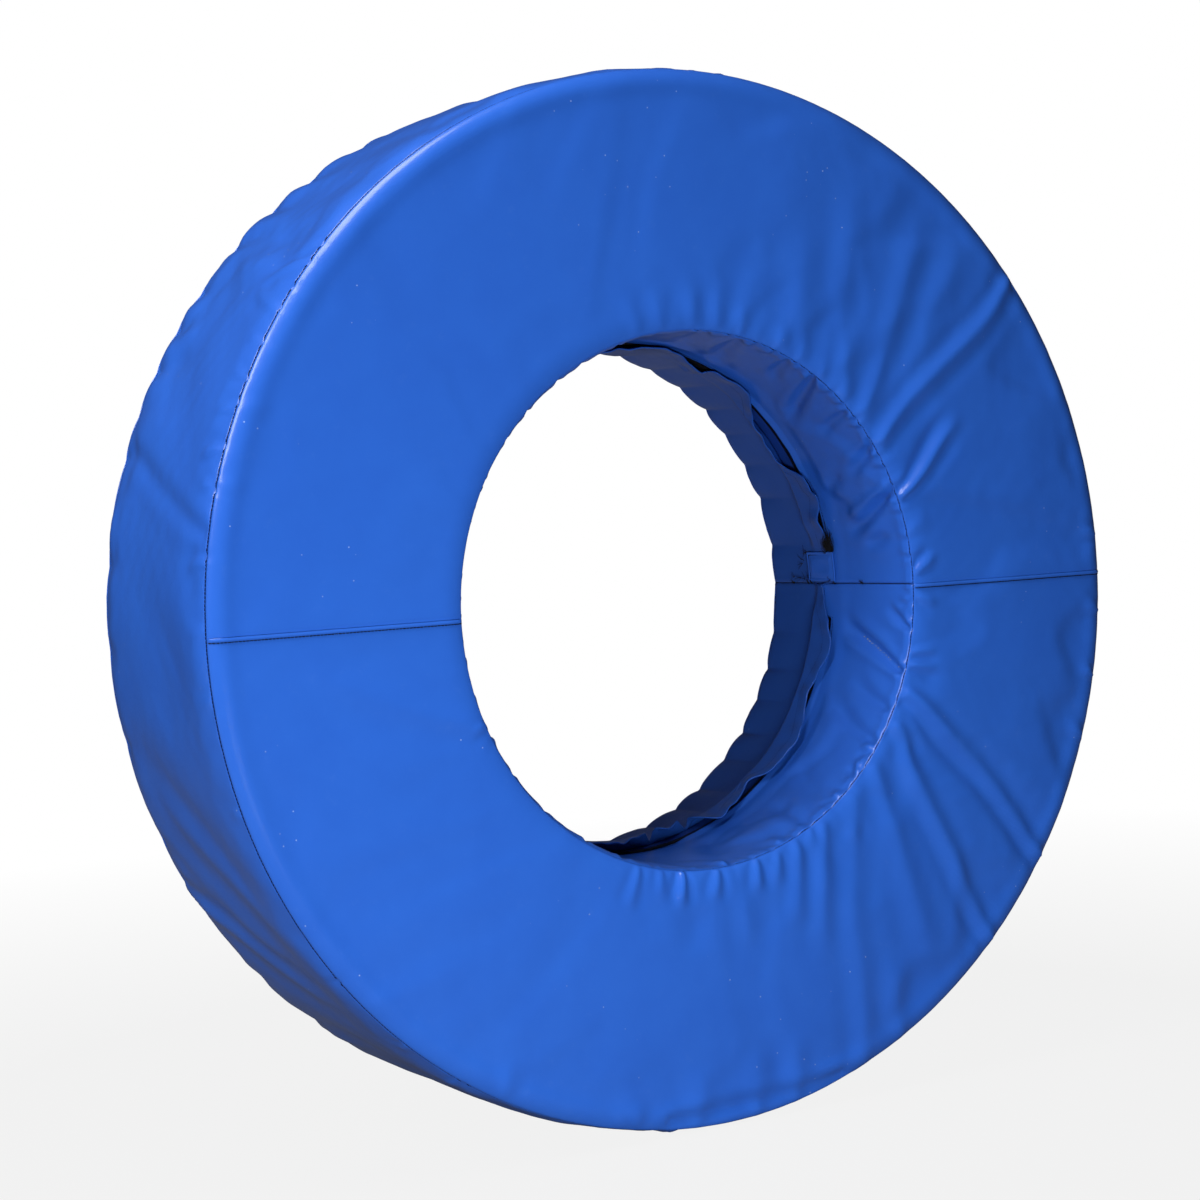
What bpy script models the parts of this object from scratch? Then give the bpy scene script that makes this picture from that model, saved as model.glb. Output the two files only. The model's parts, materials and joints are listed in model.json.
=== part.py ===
"""A padded tackling wheel: a foam ring in a coated-fabric cover that zips shut inside its bore.

Metres, +Z up. The wheel stands on its tread at the origin, its axle line runs along Y and its front
face looks towards -Y. Angles run from +X towards +Z about that line. Angle 0 is the side where the
cover's strips close.
"""

import math

import bmesh
import bpy
from mathutils import Matrix, Vector

# The padded ring
WHEEL_RADIUS = 0.600
BORE_RADIUS = 0.303
SEAM_SPAN = 0.284
FACE_CROWN = 0.008
ROLLED_EDGE_WIDTH = 0.028
SEAM_DRAW_IN = 0.003
DRAW_IN_WIDTH = 0.028
MIDDLE_SLAB_THICKNESS = 0.100
GROUND_FLAT_DEPTH = 0.0005
SEGMENTS = 66
LEAST_FACET_SHARE = 0.015

# The cover
FABRIC_THICKNESS = 0.0008
SEWN_GAP = 0.0003
LAP_WIDTH = 0.008
LAP_STEP_WIDTH = 0.0012
TUCK_SHARE = 0.8

# The zip, whose middle line runs round the bore at ZIP_ACROSS
ZIP_ACROSS = 0.028
ZIP_OPENING_WIDTH = 0.020
TAPE_WIDTH = 0.016
TAPE_THICKNESS = 0.0006
COIL_WIDTH = 0.0045
COIL_HEIGHT = 0.0028
CHAIN_GAP = 0.0016
STOP_LENGTH = 0.005
STOP_RISE = 0.0014

# The slider and its pull tab
SLIDER_LENGTH = 0.020
SLIDER_NOSE_WIDTH = 0.0150
SLIDER_TAIL_WIDTH = 0.0138
WING_THICKNESS = 0.0014
WING_CORNER_RADIUS = 0.0025
SLIDER_CLEARANCE = 0.0009
FLANGE_THICKNESS = 0.0010
FLANGE_CLEARANCE = 0.0004
FLANGE_DROP_SHARE = 0.8
NECK_LENGTH = 0.005
NECK_CLEARANCE = 0.0003
CROWN_LENGTH = 0.0120
CROWN_WIDTH = 0.0024
CROWN_THICKNESS = 0.0013
CROWN_HEIGHT = 0.0045
HINGE_RISE = 0.0016
TAB_LENGTH = 0.028
TAB_WIDTH = 0.0080
TAB_THICKNESS = 0.0015
TAB_RAIL_WIDTH = 0.0019
TAB_WINDOW_LENGTH = 0.0075
TAB_CORNER_RADIUS = 0.0020
GRIP_HOLE_LENGTH = 0.0060

# The flap that covers the zip, and the patch over its ends
UNDERLAP_WIDTH = 0.018
FLAP_RISE_WIDTH = 0.012
FLAP_OVERLAP = 0.010
FLAP_CLEARANCE = 0.0012
FLAP_RAMP_LENGTH = 0.042
FLAP_WAVE_HEIGHT = 0.006
FLAP_WAVES = 13
FLAP_RIPPLE_HEIGHT = 0.003
FLAP_RIPPLES = 22
HEM_WIDTH = 0.020
PATCH_LENGTH = 0.037
PATCH_WIDTH = 0.044
PATCH_SET_BACK = 0.004
PATCH_SEAM_GAP = 0.003
TAPE_TAIL_SHARE = 0.5

# Levels and places worked out from the sizes above
OVERRUN = 0.001
FACET = 2 * math.pi / SEGMENTS
AXLE_HEIGHT = WHEEL_RADIUS * math.cos(FACET / 2) - GROUND_FLAT_DEPTH
MID_RADIUS = (WHEEL_RADIUS + BORE_RADIUS) / 2
SEAM_ACROSS = SEAM_SPAN / 2
SLAB_ACROSS = MIDDLE_SLAB_THICKNESS / 2
LAYER = FABRIC_THICKNESS + SEWN_GAP
TAPE_TOP = BORE_RADIUS + LAYER
TAPE_BOTTOM = TAPE_TOP + TAPE_THICKNESS
COIL_BOTTOM = TAPE_TOP - SEWN_GAP
COIL_TOP = COIL_BOTTOM - COIL_HEIGHT
WING_BOTTOM = COIL_TOP - SLIDER_CLEARANCE
WING_TOP = WING_BOTTOM - WING_THICKNESS
UNDER_WING_TOP = TAPE_BOTTOM + SLIDER_CLEARANCE
UNDER_WING_BOTTOM = UNDER_WING_TOP + WING_THICKNESS
CROWN_TOP = WING_TOP - CROWN_HEIGHT
FLAP_UNDERSIDE = CROWN_TOP - FLAP_CLEARANCE
FLAT_FLAP_UNDERSIDE = BORE_RADIUS - SEWN_GAP
PATCH_UNDERSIDE = FLAT_FLAP_UNDERSIDE - 2 * FABRIC_THICKNESS - SEWN_GAP
FRONT_HEM_ACROSS = ZIP_ACROSS - ZIP_OPENING_WIDTH / 2
BACK_HEM_ACROSS = ZIP_ACROSS + ZIP_OPENING_WIDTH / 2
FLAP_ROOT_ACROSS = BACK_HEM_ACROSS + UNDERLAP_WIDTH
FLAP_EDGE_ACROSS = FRONT_HEM_ACROSS - FLAP_OVERLAP
TAPE_REACH = CHAIN_GAP / 2 + TAPE_WIDTH
CHAIN_REACH = CHAIN_GAP / 2 + COIL_WIDTH

# Angles round the bore, from lengths along its wall
STRIP_END = SEWN_GAP / BORE_RADIUS
PATCH_START = PATCH_SEAM_GAP / BORE_RADIUS
PATCH_END = PATCH_START + PATCH_LENGTH / BORE_RADIUS
RAMP_ANGLE = FLAP_RAMP_LENGTH / BORE_RADIUS
STOP_ANGLE = STOP_LENGTH / BORE_RADIUS
STOP_GAP_ANGLE = SEWN_GAP / BORE_RADIUS
HALF_SLIDER_ANGLE = SLIDER_LENGTH / 2 / WING_TOP
CLOSED_STOP_START = -RAMP_ANGLE - STOP_GAP_ANGLE
CLOSED_STOP_END = CLOSED_STOP_START - STOP_ANGLE
COIL_START = CLOSED_STOP_END - STOP_GAP_ANGLE
SLIDER_REST = COIL_START - HALF_SLIDER_ANGLE - STOP_GAP_ANGLE
OPEN_STOP_END = PATCH_END + RAMP_ANGLE + STOP_GAP_ANGLE - 2 * math.pi
OPEN_STOP_START = OPEN_STOP_END + STOP_ANGLE
COIL_END = OPEN_STOP_START + STOP_GAP_ANGLE
TAPE_END = PATCH_START + TAPE_TAIL_SHARE * (PATCH_END - PATCH_START) - 2 * math.pi

# Colours, linear
FABRIC_BLUE = (0.014, 0.075, 0.430)
FABRIC_DARK = (0.010, 0.030, 0.180)
FOAM_GREY = (0.300, 0.310, 0.320)
TAPE_BLACK = (0.010, 0.010, 0.011)
SLIDER_METAL = (0.320, 0.320, 0.330)


def clear_scene():
    for old in list(bpy.data.objects):
        bpy.data.objects.remove(old)


def material(name, colour, roughness, metallic=0.0):
    made = bpy.data.materials.new(name)
    made.use_nodes = True
    shader = made.node_tree.nodes["Principled BSDF"]
    shader.inputs["Base Color"].default_value = (*colour, 1.0)
    shader.inputs["Roughness"].default_value = roughness
    shader.inputs["Metallic"].default_value = metallic
    return made


def on_facet(radius, across, angle):
    """A point of a ring. Every ring turns through the same corners, so that nested pieces keep their gap.

    Below the axle line the padding is pressed flat where the wheel stands, by the same depth at every layer.
    """
    off_middle = angle % FACET - FACET / 2
    reach = radius * math.cos(FACET / 2) / math.cos(off_middle)
    height = reach * math.sin(angle)
    if radius > MID_RADIUS:
        height = max(height, WHEEL_RADIUS - radius - AXLE_HEIGHT)
    return Vector((reach * math.cos(angle), across, height))


def angles_between(start, end, extra=()):
    """The two ends, the shared corners between them and any extra angles, from the lower to the higher.

    One that would leave a sliver beside an end, by the least share of a facet, is left out.
    """
    low, high = min(start, end), max(start, end)
    corners = [k * FACET for k in range(math.floor(low / FACET), math.ceil(high / FACET) + 1)]
    least = FACET * LEAST_FACET_SHARE
    kept = [a for a in [*corners, *extra] if low + least < a < high - least]
    return [low, *sorted(kept), high]


def full_turn():
    return [k * FACET for k in range(SEGMENTS)]


def object_from(bm, name, finish, parent):
    bmesh.ops.recalc_face_normals(bm, faces=bm.faces)
    mesh = bpy.data.meshes.new(name)
    bm.to_mesh(mesh)
    bm.free()
    mesh.shade_smooth()
    mesh.set_sharp_from_angle(angle=math.radians(35))
    mesh.materials.append(finish)
    made = bpy.data.objects.new(name, mesh)
    bpy.context.scene.collection.objects.link(made)
    made.parent = parent
    return made


def swept(name, stations, finish, parent, closed=False):
    """A solid whose outline, a closed list of (radius, across), is carried round the axle line.

    stations is a list of (angle, outline). Every outline has as many points as the first.
    """
    bm = bmesh.new()
    loops = []
    for angle, outline in stations:
        loops.append([bm.verts.new(on_facet(radius, across, angle)) for radius, across in outline])
    following = loops[1:] + loops[:1] if closed else loops[1:]
    for near, far in zip(loops, following):
        for i, corner in enumerate(near):
            j = (i + 1) % len(near)
            bm.faces.new((corner, near[j], far[j], far[i]))
    if not closed:
        caps = [bm.faces.new(loops[0]), bm.faces.new(loops[-1])]
        bmesh.ops.triangulate(bm, faces=caps, ngon_method="EAR_CLIP")
    return object_from(bm, name, finish, parent)


def arc_band(name, radii, across, ends, finish, parent):
    """A plain band round the axle line, from one angle to another."""
    top, bottom = radii
    front, back = across
    outline = [(top, front), (bottom, front), (bottom, back), (top, back)]
    stations = [(angle, outline) for angle in angles_between(*ends)]
    return swept(name, stations, finish, parent)


def rolled_edge(seam_radius, inward, inset, side):
    """The rounded shoulder from a seam to the flat of a face, as an arc of an ellipse in four points.

    inward is -1 from the rim seam and +1 from the bore seam, and side is -1 in front and +1 behind.
    """
    width = ROLLED_EDGE_WIDTH - inset
    crown = FACE_CROWN - inset
    edge = seam_radius + inward * inset
    points = []
    for turn in (0, math.radians(30), math.radians(60), math.radians(90)):
        radius = edge + inward * width * (1 - math.cos(turn))
        points.append((radius, side * (SEAM_ACROSS + crown * math.sin(turn))))
    return points


def face_line(inset, side):
    """The section of a face from its rim seam to its bore seam, inset below the outer surface."""
    rim = rolled_edge(WHEEL_RADIUS - SEAM_DRAW_IN, -1, inset, side)
    bore = rolled_edge(BORE_RADIUS, 1, inset, side)
    return rim + bore[::-1]


def panel_outline(side, lift=0.0):
    """The closed section of a face panel, with its edges clear of the strips that it is sewn to."""
    outer = face_line(-lift, side)
    inner = face_line(FABRIC_THICKNESS - lift, side)
    clear = side * SEWN_GAP
    for line in (outer, inner):
        line[0] = (line[0][0], line[0][1] + clear)
        line[-1] = (line[-1][0], line[-1][1] + clear)
    return outer + inner[::-1]


def tread_line(inset):
    """The section of the tread from its front seam to its back seam, drawn in by both seams."""
    seam = WHEEL_RADIUS - SEAM_DRAW_IN - inset
    middle = WHEEL_RADIUS - inset
    full = SEAM_ACROSS - DRAW_IN_WIDTH
    return [(seam, -SEAM_ACROSS), (middle, -full), (middle, full), (seam, SEAM_ACROSS)]


def foam_slabs(finish, parent):
    """Three glued slabs: a middle one with a groove for the zip, and a rounded one on either side."""
    rim = WHEEL_RADIUS - LAYER
    bore = BORE_RADIUS + LAYER
    glue = SLAB_ACROSS + SEWN_GAP
    for name, side in (("foam_slab_front", -1), ("foam_slab_back", 1)):
        seam = tread_line(LAYER)[0][0]
        outline = [(rim, side * glue), (rim, side * (SEAM_ACROSS - DRAW_IN_WIDTH))]
        outline += [(seam, side * SEAM_ACROSS)]
        outline += face_line(LAYER, side)[1:]
        outline += [(bore, side * glue)]
        swept(name, [(angle, outline) for angle in full_turn()], finish, parent, closed=True)
    tape_side = TAPE_REACH + SEWN_GAP
    wing_side = SLIDER_NOSE_WIDTH / 2 + SLIDER_CLEARANCE
    tape_groove = TAPE_BOTTOM + SEWN_GAP
    wing_groove = UNDER_WING_BOTTOM + SLIDER_CLEARANCE
    outline = [(bore, -SLAB_ACROSS), (rim, -SLAB_ACROSS), (rim, SLAB_ACROSS), (bore, SLAB_ACROSS)]
    outline += [(bore, ZIP_ACROSS + tape_side), (tape_groove, ZIP_ACROSS + tape_side)]
    outline += [(tape_groove, ZIP_ACROSS + wing_side), (wing_groove, ZIP_ACROSS + wing_side)]
    outline += [(wing_groove, ZIP_ACROSS - wing_side), (tape_groove, ZIP_ACROSS - wing_side)]
    outline += [(tape_groove, ZIP_ACROSS - tape_side), (bore, ZIP_ACROSS - tape_side)]
    swept("foam_slab_middle", [(angle, outline) for angle in full_turn()], finish, parent, closed=True)


def face_panels(finish, parent):
    """Two half rings on each face. The lower one's turned edge laps over the upper one at both seams."""
    lap = LAP_WIDTH / MID_RADIUS
    step = LAP_STEP_WIDTH / MID_RADIUS
    for face, side in (("front", -1), ("back", 1)):
        flat = panel_outline(side)
        raised = panel_outline(side, LAYER)
        upper = angles_between(-lap * TUCK_SHARE, math.pi + lap * TUCK_SHARE)
        swept(f"face_panel_{face}_upper", [(angle, flat) for angle in upper], finish, parent)
        lower = angles_between(math.pi + lap + step, 2 * math.pi - lap - step)
        stations = [(math.pi, raised), (math.pi + lap, raised)]
        stations += [(angle, flat) for angle in lower]
        stations += [(2 * math.pi - lap, raised), (2 * math.pi, raised)]
        swept(f"face_panel_{face}_lower", stations, finish, parent)


def tread_band(finish, parent):
    outline = tread_line(0.0) + tread_line(FABRIC_THICKNESS)[::-1]
    ends = (SEWN_GAP / WHEEL_RADIUS, 2 * math.pi - SEWN_GAP / WHEEL_RADIUS)
    swept("tread_band", [(angle, outline) for angle in angles_between(*ends)], finish, parent)


def flap_lift(angle):
    """How far the flap stands off the wall there, from 0 at the cross seam and under the patch to 1."""
    above = (angle - PATCH_END) / RAMP_ANGLE
    below = (2 * math.pi - angle) / RAMP_ANGLE
    return max(0.0, min(1.0, above, below))


def flap_edge(angle):
    """Where the flap's loose edge lies across the bore: it waves, as cloth cut longer than its seam does."""
    wave = FLAP_WAVE_HEIGHT * math.sin(FLAP_WAVES * angle)
    ripple = FLAP_RIPPLE_HEIGHT * math.sin(FLAP_RIPPLES * angle)
    return FLAP_EDGE_ACROSS + flap_lift(angle) * (wave + ripple)


def back_strip_outline(angle):
    """The back wall of the bore, rising at the flap's root and ending in a doubled hem over the zip."""
    lift = flap_lift(angle)
    underside = FLAT_FLAP_UNDERSIDE + lift * (FLAP_UNDERSIDE - FLAT_FLAP_UNDERSIDE)
    doubled = 2 * FABRIC_THICKNESS
    topside = underside - doubled
    fold = underside - FABRIC_THICKNESS
    edge = flap_edge(angle)
    hem = edge + HEM_WIDTH
    crest = FLAP_ROOT_ACROSS - doubled - lift * (FLAP_RISE_WIDTH - doubled)
    back = SEAM_ACROSS
    wall = BORE_RADIUS
    outer = [(wall, back), (wall, FLAP_ROOT_ACROSS), (topside, crest), (topside, edge)]
    inner = [(underside, edge), (underside, hem), (fold, hem), (fold, crest + FABRIC_THICKNESS / 2)]
    root = FLAP_ROOT_ACROSS + FABRIC_THICKNESS / 2
    return outer + inner + [(wall + FABRIC_THICKNESS, root), (wall + FABRIC_THICKNESS, back)]


def bore_strips(finish, under_finish, parent):
    """The bore's front wall, its back wall with the flap, and the strip that carries the back tape."""
    layer = (BORE_RADIUS, BORE_RADIUS + FABRIC_THICKNESS)
    ends = (STRIP_END, 2 * math.pi - STRIP_END)
    arc_band("bore_strip_front", layer, (-SEAM_ACROSS, FRONT_HEM_ACROSS), ends, finish, parent)
    extra = (PATCH_END, PATCH_END + RAMP_ANGLE, 2 * math.pi - RAMP_ANGLE)
    stations = [(angle, back_strip_outline(angle)) for angle in angles_between(*ends, extra)]
    swept("bore_strip_back", stations, finish, parent)
    root = FLAP_ROOT_ACROSS - FABRIC_THICKNESS - SEWN_GAP
    arc_band("zip_underlap", layer, (BACK_HEM_ACROSS, root), ends, under_finish, parent)


def zip_chain(tape_finish, coil_finish, stop_finish, parent):
    """Both halves of the zip: a tape and a coil on each side of its middle line, and its end stops."""
    tape_ends = (-STRIP_END, TAPE_END)
    coil_ends = (COIL_START, COIL_END)
    closed_stop = (CLOSED_STOP_START, CLOSED_STOP_END)
    open_stop = (OPEN_STOP_START, OPEN_STOP_END)
    stop_levels = (COIL_TOP - STOP_RISE, COIL_BOTTOM)
    for half, side in (("front", -1), ("back", 1)):
        inner = ZIP_ACROSS + side * CHAIN_GAP / 2
        tape_edge = ZIP_ACROSS + side * TAPE_REACH
        coil_edge = ZIP_ACROSS + side * CHAIN_REACH
        tape = sorted((inner, tape_edge))
        coil = sorted((inner, coil_edge))
        arc_band(f"zip_tape_{half}", (TAPE_TOP, TAPE_BOTTOM), tape, tape_ends, tape_finish, parent)
        arc_band(f"zip_coil_{half}", (COIL_TOP, COIL_BOTTOM), coil, coil_ends, coil_finish, parent)
        arc_band(f"zip_stop_{half}", stop_levels, coil, closed_stop, stop_finish, parent)
    across = (ZIP_ACROSS - CHAIN_REACH, ZIP_ACROSS + CHAIN_REACH)
    arc_band("zip_start_box", stop_levels, across, open_stop, stop_finish, parent)


def end_patch(finish, parent):
    """The sewn square that holds the cut ends of the zip and the flap beside the cross seam."""
    layer = (PATCH_UNDERSIDE - FABRIC_THICKNESS, PATCH_UNDERSIDE)
    front = FLAP_EDGE_ACROSS + PATCH_SET_BACK
    arc_band("zip_end_patch", layer, (front, front + PATCH_WIDTH), (PATCH_START, PATCH_END), finish, parent)


def plate(outline, low, high, corner_radius):
    """A flat plate with rounded corners: outline is (along, across) points, low and high are heights."""
    bm = bmesh.new()
    floor = bm.faces.new([bm.verts.new((along, across, low)) for along, across in outline])
    raised = bmesh.ops.extrude_face_region(bm, geom=[floor])
    lifted = [v for v in raised["geom"] if isinstance(v, bmesh.types.BMVert)]
    bmesh.ops.translate(bm, verts=lifted, vec=(0, 0, high - low))
    uprights = [e for e in bm.edges if abs(e.verts[0].co.z - e.verts[1].co.z) > (high - low) / 2]
    if corner_radius:
        rounding = {"offset": corner_radius, "segments": 3, "profile": 0.5, "clamp_overlap": True}
        bmesh.ops.bevel(bm, geom=uprights, affect="EDGES", **rounding)
    return bm


def rectangle(along_low, along_high, width):
    half = width / 2
    return [(along_low, -half), (along_high, -half), (along_high, half), (along_low, half)]


def combine(target, other_mesh, operation, finish):
    """Joins a shape to target, or cuts it out, with a live Boolean whose operand stays hidden."""
    operand = object_from(other_mesh, f"{target.name}_operand", finish, target)
    operand.hide_render = True
    operand.display_type = "WIRE"
    step = target.modifiers.new(operation.lower(), "BOOLEAN")
    step.operation = operation
    step.solver = "EXACT"
    step.object = operand


def zip_slider(finish, parent):
    """Two wings joined by a neck that runs in the chain's middle gap, with flanges and a crown for the tab.

    Its own +X points the way it opens, +Y across the zip and +Z out of the wall towards the wheel's middle.
    Heights are from the top wing's upper face.
    """
    half = SLIDER_LENGTH / 2
    nose = SLIDER_NOSE_WIDTH / 2
    tail = SLIDER_TAIL_WIDTH / 2
    wing = [(-half, -nose), (half, -tail), (half, tail), (-half, nose)]
    slider = object_from(plate(wing, -WING_THICKNESS, 0, WING_CORNER_RADIUS), "zip_slider", finish, parent)
    under_top = WING_TOP - UNDER_WING_TOP
    under_bottom = WING_TOP - UNDER_WING_BOTTOM
    combine(slider, plate(wing, under_bottom, under_top, WING_CORNER_RADIUS), "UNION", finish)
    neck_width = CHAIN_GAP - 2 * NECK_CLEARANCE
    neck_start = -half + WING_CORNER_RADIUS
    neck = rectangle(neck_start, neck_start + NECK_LENGTH, neck_width)
    combine(slider, plate(neck, under_top - OVERRUN, -OVERRUN, 0), "UNION", finish)
    flange_inner = CHAIN_REACH + FLANGE_CLEARANCE
    flange_drop = WING_THICKNESS + FLANGE_DROP_SHARE * (COIL_HEIGHT + SLIDER_CLEARANCE) - SLIDER_CLEARANCE
    flange_half = half - WING_CORNER_RADIUS
    for side in (-1, 1):
        edges = sorted((side * flange_inner, side * (flange_inner + FLANGE_THICKNESS)))
        flange = [(-flange_half, edges[0]), (flange_half, edges[0])]
        flange += [(flange_half, edges[1]), (-flange_half, edges[1])]
        combine(slider, plate(flange, -flange_drop, -WING_THICKNESS / 2, 0), "UNION", finish)
    crown_half = CROWN_LENGTH / 2
    bar = rectangle(-crown_half, crown_half, CROWN_WIDTH)
    combine(slider, plate(bar, CROWN_HEIGHT - CROWN_THICKNESS, CROWN_HEIGHT, 0), "UNION", finish)
    for start in (-crown_half, crown_half - CROWN_THICKNESS):
        foot = rectangle(start, start + CROWN_THICKNESS, CROWN_WIDTH)
        foot_top = CROWN_HEIGHT - CROWN_THICKNESS / 2
        combine(slider, plate(foot, -WING_THICKNESS / 2, foot_top, 0), "UNION", finish)
    return slider


def pull_tab(finish, parent):
    """A flat tab whose cross bar turns under the slider's crown, with its origin on the hinge line."""
    thick = TAB_THICKNESS / 2
    body = rectangle(-thick, TAB_LENGTH, TAB_WIDTH)
    tab = object_from(plate(body, -thick, thick, TAB_CORNER_RADIUS), "zip_pull_tab", finish, parent)
    window = rectangle(thick, thick + TAB_WINDOW_LENGTH, TAB_WIDTH - 2 * TAB_RAIL_WIDTH)
    combine(tab, plate(window, -thick - OVERRUN, thick + OVERRUN, 0), "DIFFERENCE", finish)
    grip_end = TAB_LENGTH - TAB_CORNER_RADIUS - TAB_RAIL_WIDTH
    grip = rectangle(grip_end - GRIP_HOLE_LENGTH, grip_end, TAB_WIDTH - 2 * TAB_RAIL_WIDTH)
    combine(tab, plate(grip, -thick - OVERRUN, thick + OVERRUN, TAB_RAIL_WIDTH / 2), "DIFFERENCE", finish)
    return tab


def slider_place():
    """Turns the slider's own axes onto the bore wall at its closed end."""
    outward = Vector((math.cos(SLIDER_REST), 0, math.sin(SLIDER_REST)))
    opening = Vector((math.sin(SLIDER_REST), 0, -math.cos(SLIDER_REST)))
    across = (-outward).cross(opening)
    turned = Matrix((opening, across, -outward)).transposed().to_4x4()
    centre = outward * WING_TOP + Vector((0, ZIP_ACROSS, 0))
    return Matrix.Translation(centre) @ turned


def main():
    clear_scene()
    cover = material("cover_fabric", FABRIC_BLUE, 0.42)
    under = material("underlap_fabric", FABRIC_DARK, 0.5)
    foam = material("foam", FOAM_GREY, 0.9)
    tape = material("zip_tape", TAPE_BLACK, 0.85)
    coil = material("zip_coil", TAPE_BLACK, 0.4)
    metal = material("zip_metal", SLIDER_METAL, 0.35, 1.0)
    axle = bpy.data.objects.new("axle_line", None)
    axle.location = (0, 0, AXLE_HEIGHT)
    bpy.context.scene.collection.objects.link(axle)
    foam_slabs(foam, axle)
    face_panels(cover, axle)
    tread_band(cover, axle)
    bore_strips(cover, under, axle)
    zip_chain(tape, coil, metal, axle)
    end_patch(cover, axle)
    slider = zip_slider(metal, axle)
    slider.matrix_local = slider_place()
    tab = pull_tab(metal, slider)
    tab.location = (0, 0, HINGE_RISE)


main()
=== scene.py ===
"""The looks of a padded tackling wheel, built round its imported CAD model.

Metres and radians where nothing else is said, +Z up. Angles run from +X towards +Z about the wheel's axle line,
which lies along Y. The front face is towards -Y.
"""

import json
import math
import random

import bpy
import numpy as np
from mathutils import Matrix, Vector


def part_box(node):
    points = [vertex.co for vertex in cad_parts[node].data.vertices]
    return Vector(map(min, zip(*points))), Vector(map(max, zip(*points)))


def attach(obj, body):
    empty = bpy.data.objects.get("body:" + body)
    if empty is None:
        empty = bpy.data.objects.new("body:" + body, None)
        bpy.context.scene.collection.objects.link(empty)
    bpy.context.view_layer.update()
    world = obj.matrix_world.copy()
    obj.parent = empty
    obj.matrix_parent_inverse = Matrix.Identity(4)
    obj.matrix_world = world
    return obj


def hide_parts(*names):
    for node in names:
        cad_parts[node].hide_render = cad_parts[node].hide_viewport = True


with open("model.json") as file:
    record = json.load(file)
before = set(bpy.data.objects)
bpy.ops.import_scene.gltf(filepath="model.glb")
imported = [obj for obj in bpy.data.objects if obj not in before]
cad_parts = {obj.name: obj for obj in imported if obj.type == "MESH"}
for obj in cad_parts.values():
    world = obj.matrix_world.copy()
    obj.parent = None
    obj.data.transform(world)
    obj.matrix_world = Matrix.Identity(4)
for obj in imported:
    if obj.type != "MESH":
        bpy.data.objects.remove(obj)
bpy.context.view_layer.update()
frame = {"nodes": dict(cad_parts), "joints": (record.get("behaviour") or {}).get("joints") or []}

bl_info = {
    "name": "Tackling Wheel",
    "version": (1, 0, 0),
    "blender": (4, 5, 0),
    "location": "View3D > Sidebar > Wheel",
    "description": "Builds the cover, flap, zip, stitching and stage of a padded tackling wheel",
    "category": "Object",
}

MM = 0.001
FULL_TURN = 2 * math.pi

# From the CAD model: radii are from the axle line, and places across are from the wheel's middle
AXLE_HEIGHT = frame["joints"][0]["pos_m"][2]
RIM = round(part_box("tread_band")[1].x, 3)
SEAM_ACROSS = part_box("tread_band")[1].y
FACE_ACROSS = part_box("face_panel_back_upper")[1].y
UNDERLAP_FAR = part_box("zip_underlap")[1].y
PATCH_LOW, PATCH_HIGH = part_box("zip_end_patch")

# The cover's section: the bore's radius, the two rim seams', the rolled edges' and the tread's full width
BORE = 0.303
BORE_ROUND = FULL_TURN * BORE
RIM_SEAM = RIM - 0.003
ROLL = 0.028
FULL_TREAD = SEAM_ACROSS - 0.028

# The cloth's thickness
CLOTH = 0.0008
# The flap: where across it leaves the wall and over which width, its radius, its hem's width, and how many rows
# of points it has
FLAP_ROOT, FLAP_LEAVES = 0.056, 0.0135
FLAP_TOP = 0.2914
FLAP_HEM = 0.020
FLAP_ROWS = 26
# The underlap's free edge across, and its flat width
UNDERLAP_EDGE = 0.0338
# How far the front strip's stitches lie from its edge
HEM_STITCHES = 0.0042
# The zip's middle line across, its tapes' inner and middle radii, the angles that it runs over, and its pitch
ZIP_ACROSS = 0.028
TAPE_LEVEL = 0.3041
TAPE_SPAN = (math.radians(-355.93), math.radians(-0.06))
COIL_SPAN = (math.radians(-343.435), math.radians(-9.001))
TOOTH_PITCH = 0.0013
# The end patch: the angles and the places across of its edges, and its radius
PATCH_SPAN = (math.asin((PATCH_LOW.z - AXLE_HEIGHT) / BORE), math.asin((PATCH_HIGH.z - AXLE_HEIGHT) / BORE))
PATCH_ACROSS = (PATCH_LOW.y - 0.0045, PATCH_HIGH.y + 0.007)
PATCH_LEVEL = 0.3004


def smooth(x):
    """0 below 0, 1 above 1 and an even curve between."""
    x = np.clip(x, 0.0, 1.0)
    return x * x * (3 - 2 * x)


def wheel_points(radius, across, angle):
    """Points from their distance to the axle line, their place across the wheel and their angle."""
    return np.stack([radius * np.cos(angle), across + 0 * angle, AXLE_HEIGHT + radius * np.sin(angle)], -1)


def wheel_normals(out, sideways, angle):
    """Directions from their share away from the axle line, their share across the wheel and their angle."""
    return np.stack([out * np.cos(angle), sideways + 0 * angle, out * np.sin(angle)], -1)


def towards_axle(angle):
    """The directions from the bore's wall straight in to the axle line."""
    return wheel_normals(-np.ones(len(angle)), np.zeros(len(angle)), angle)


def signed_degrees(angle):
    """Angles in degrees from -180 to 180."""
    return (np.degrees(angle) + 180) % 360 - 180


def unit(vectors):
    """The same directions with a length of 1."""
    return vectors / np.linalg.norm(vectors, axis=1)[:, None]


# The cover's section, walked from the front rim seam over the tread, the back face, the bore and the front face

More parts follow.
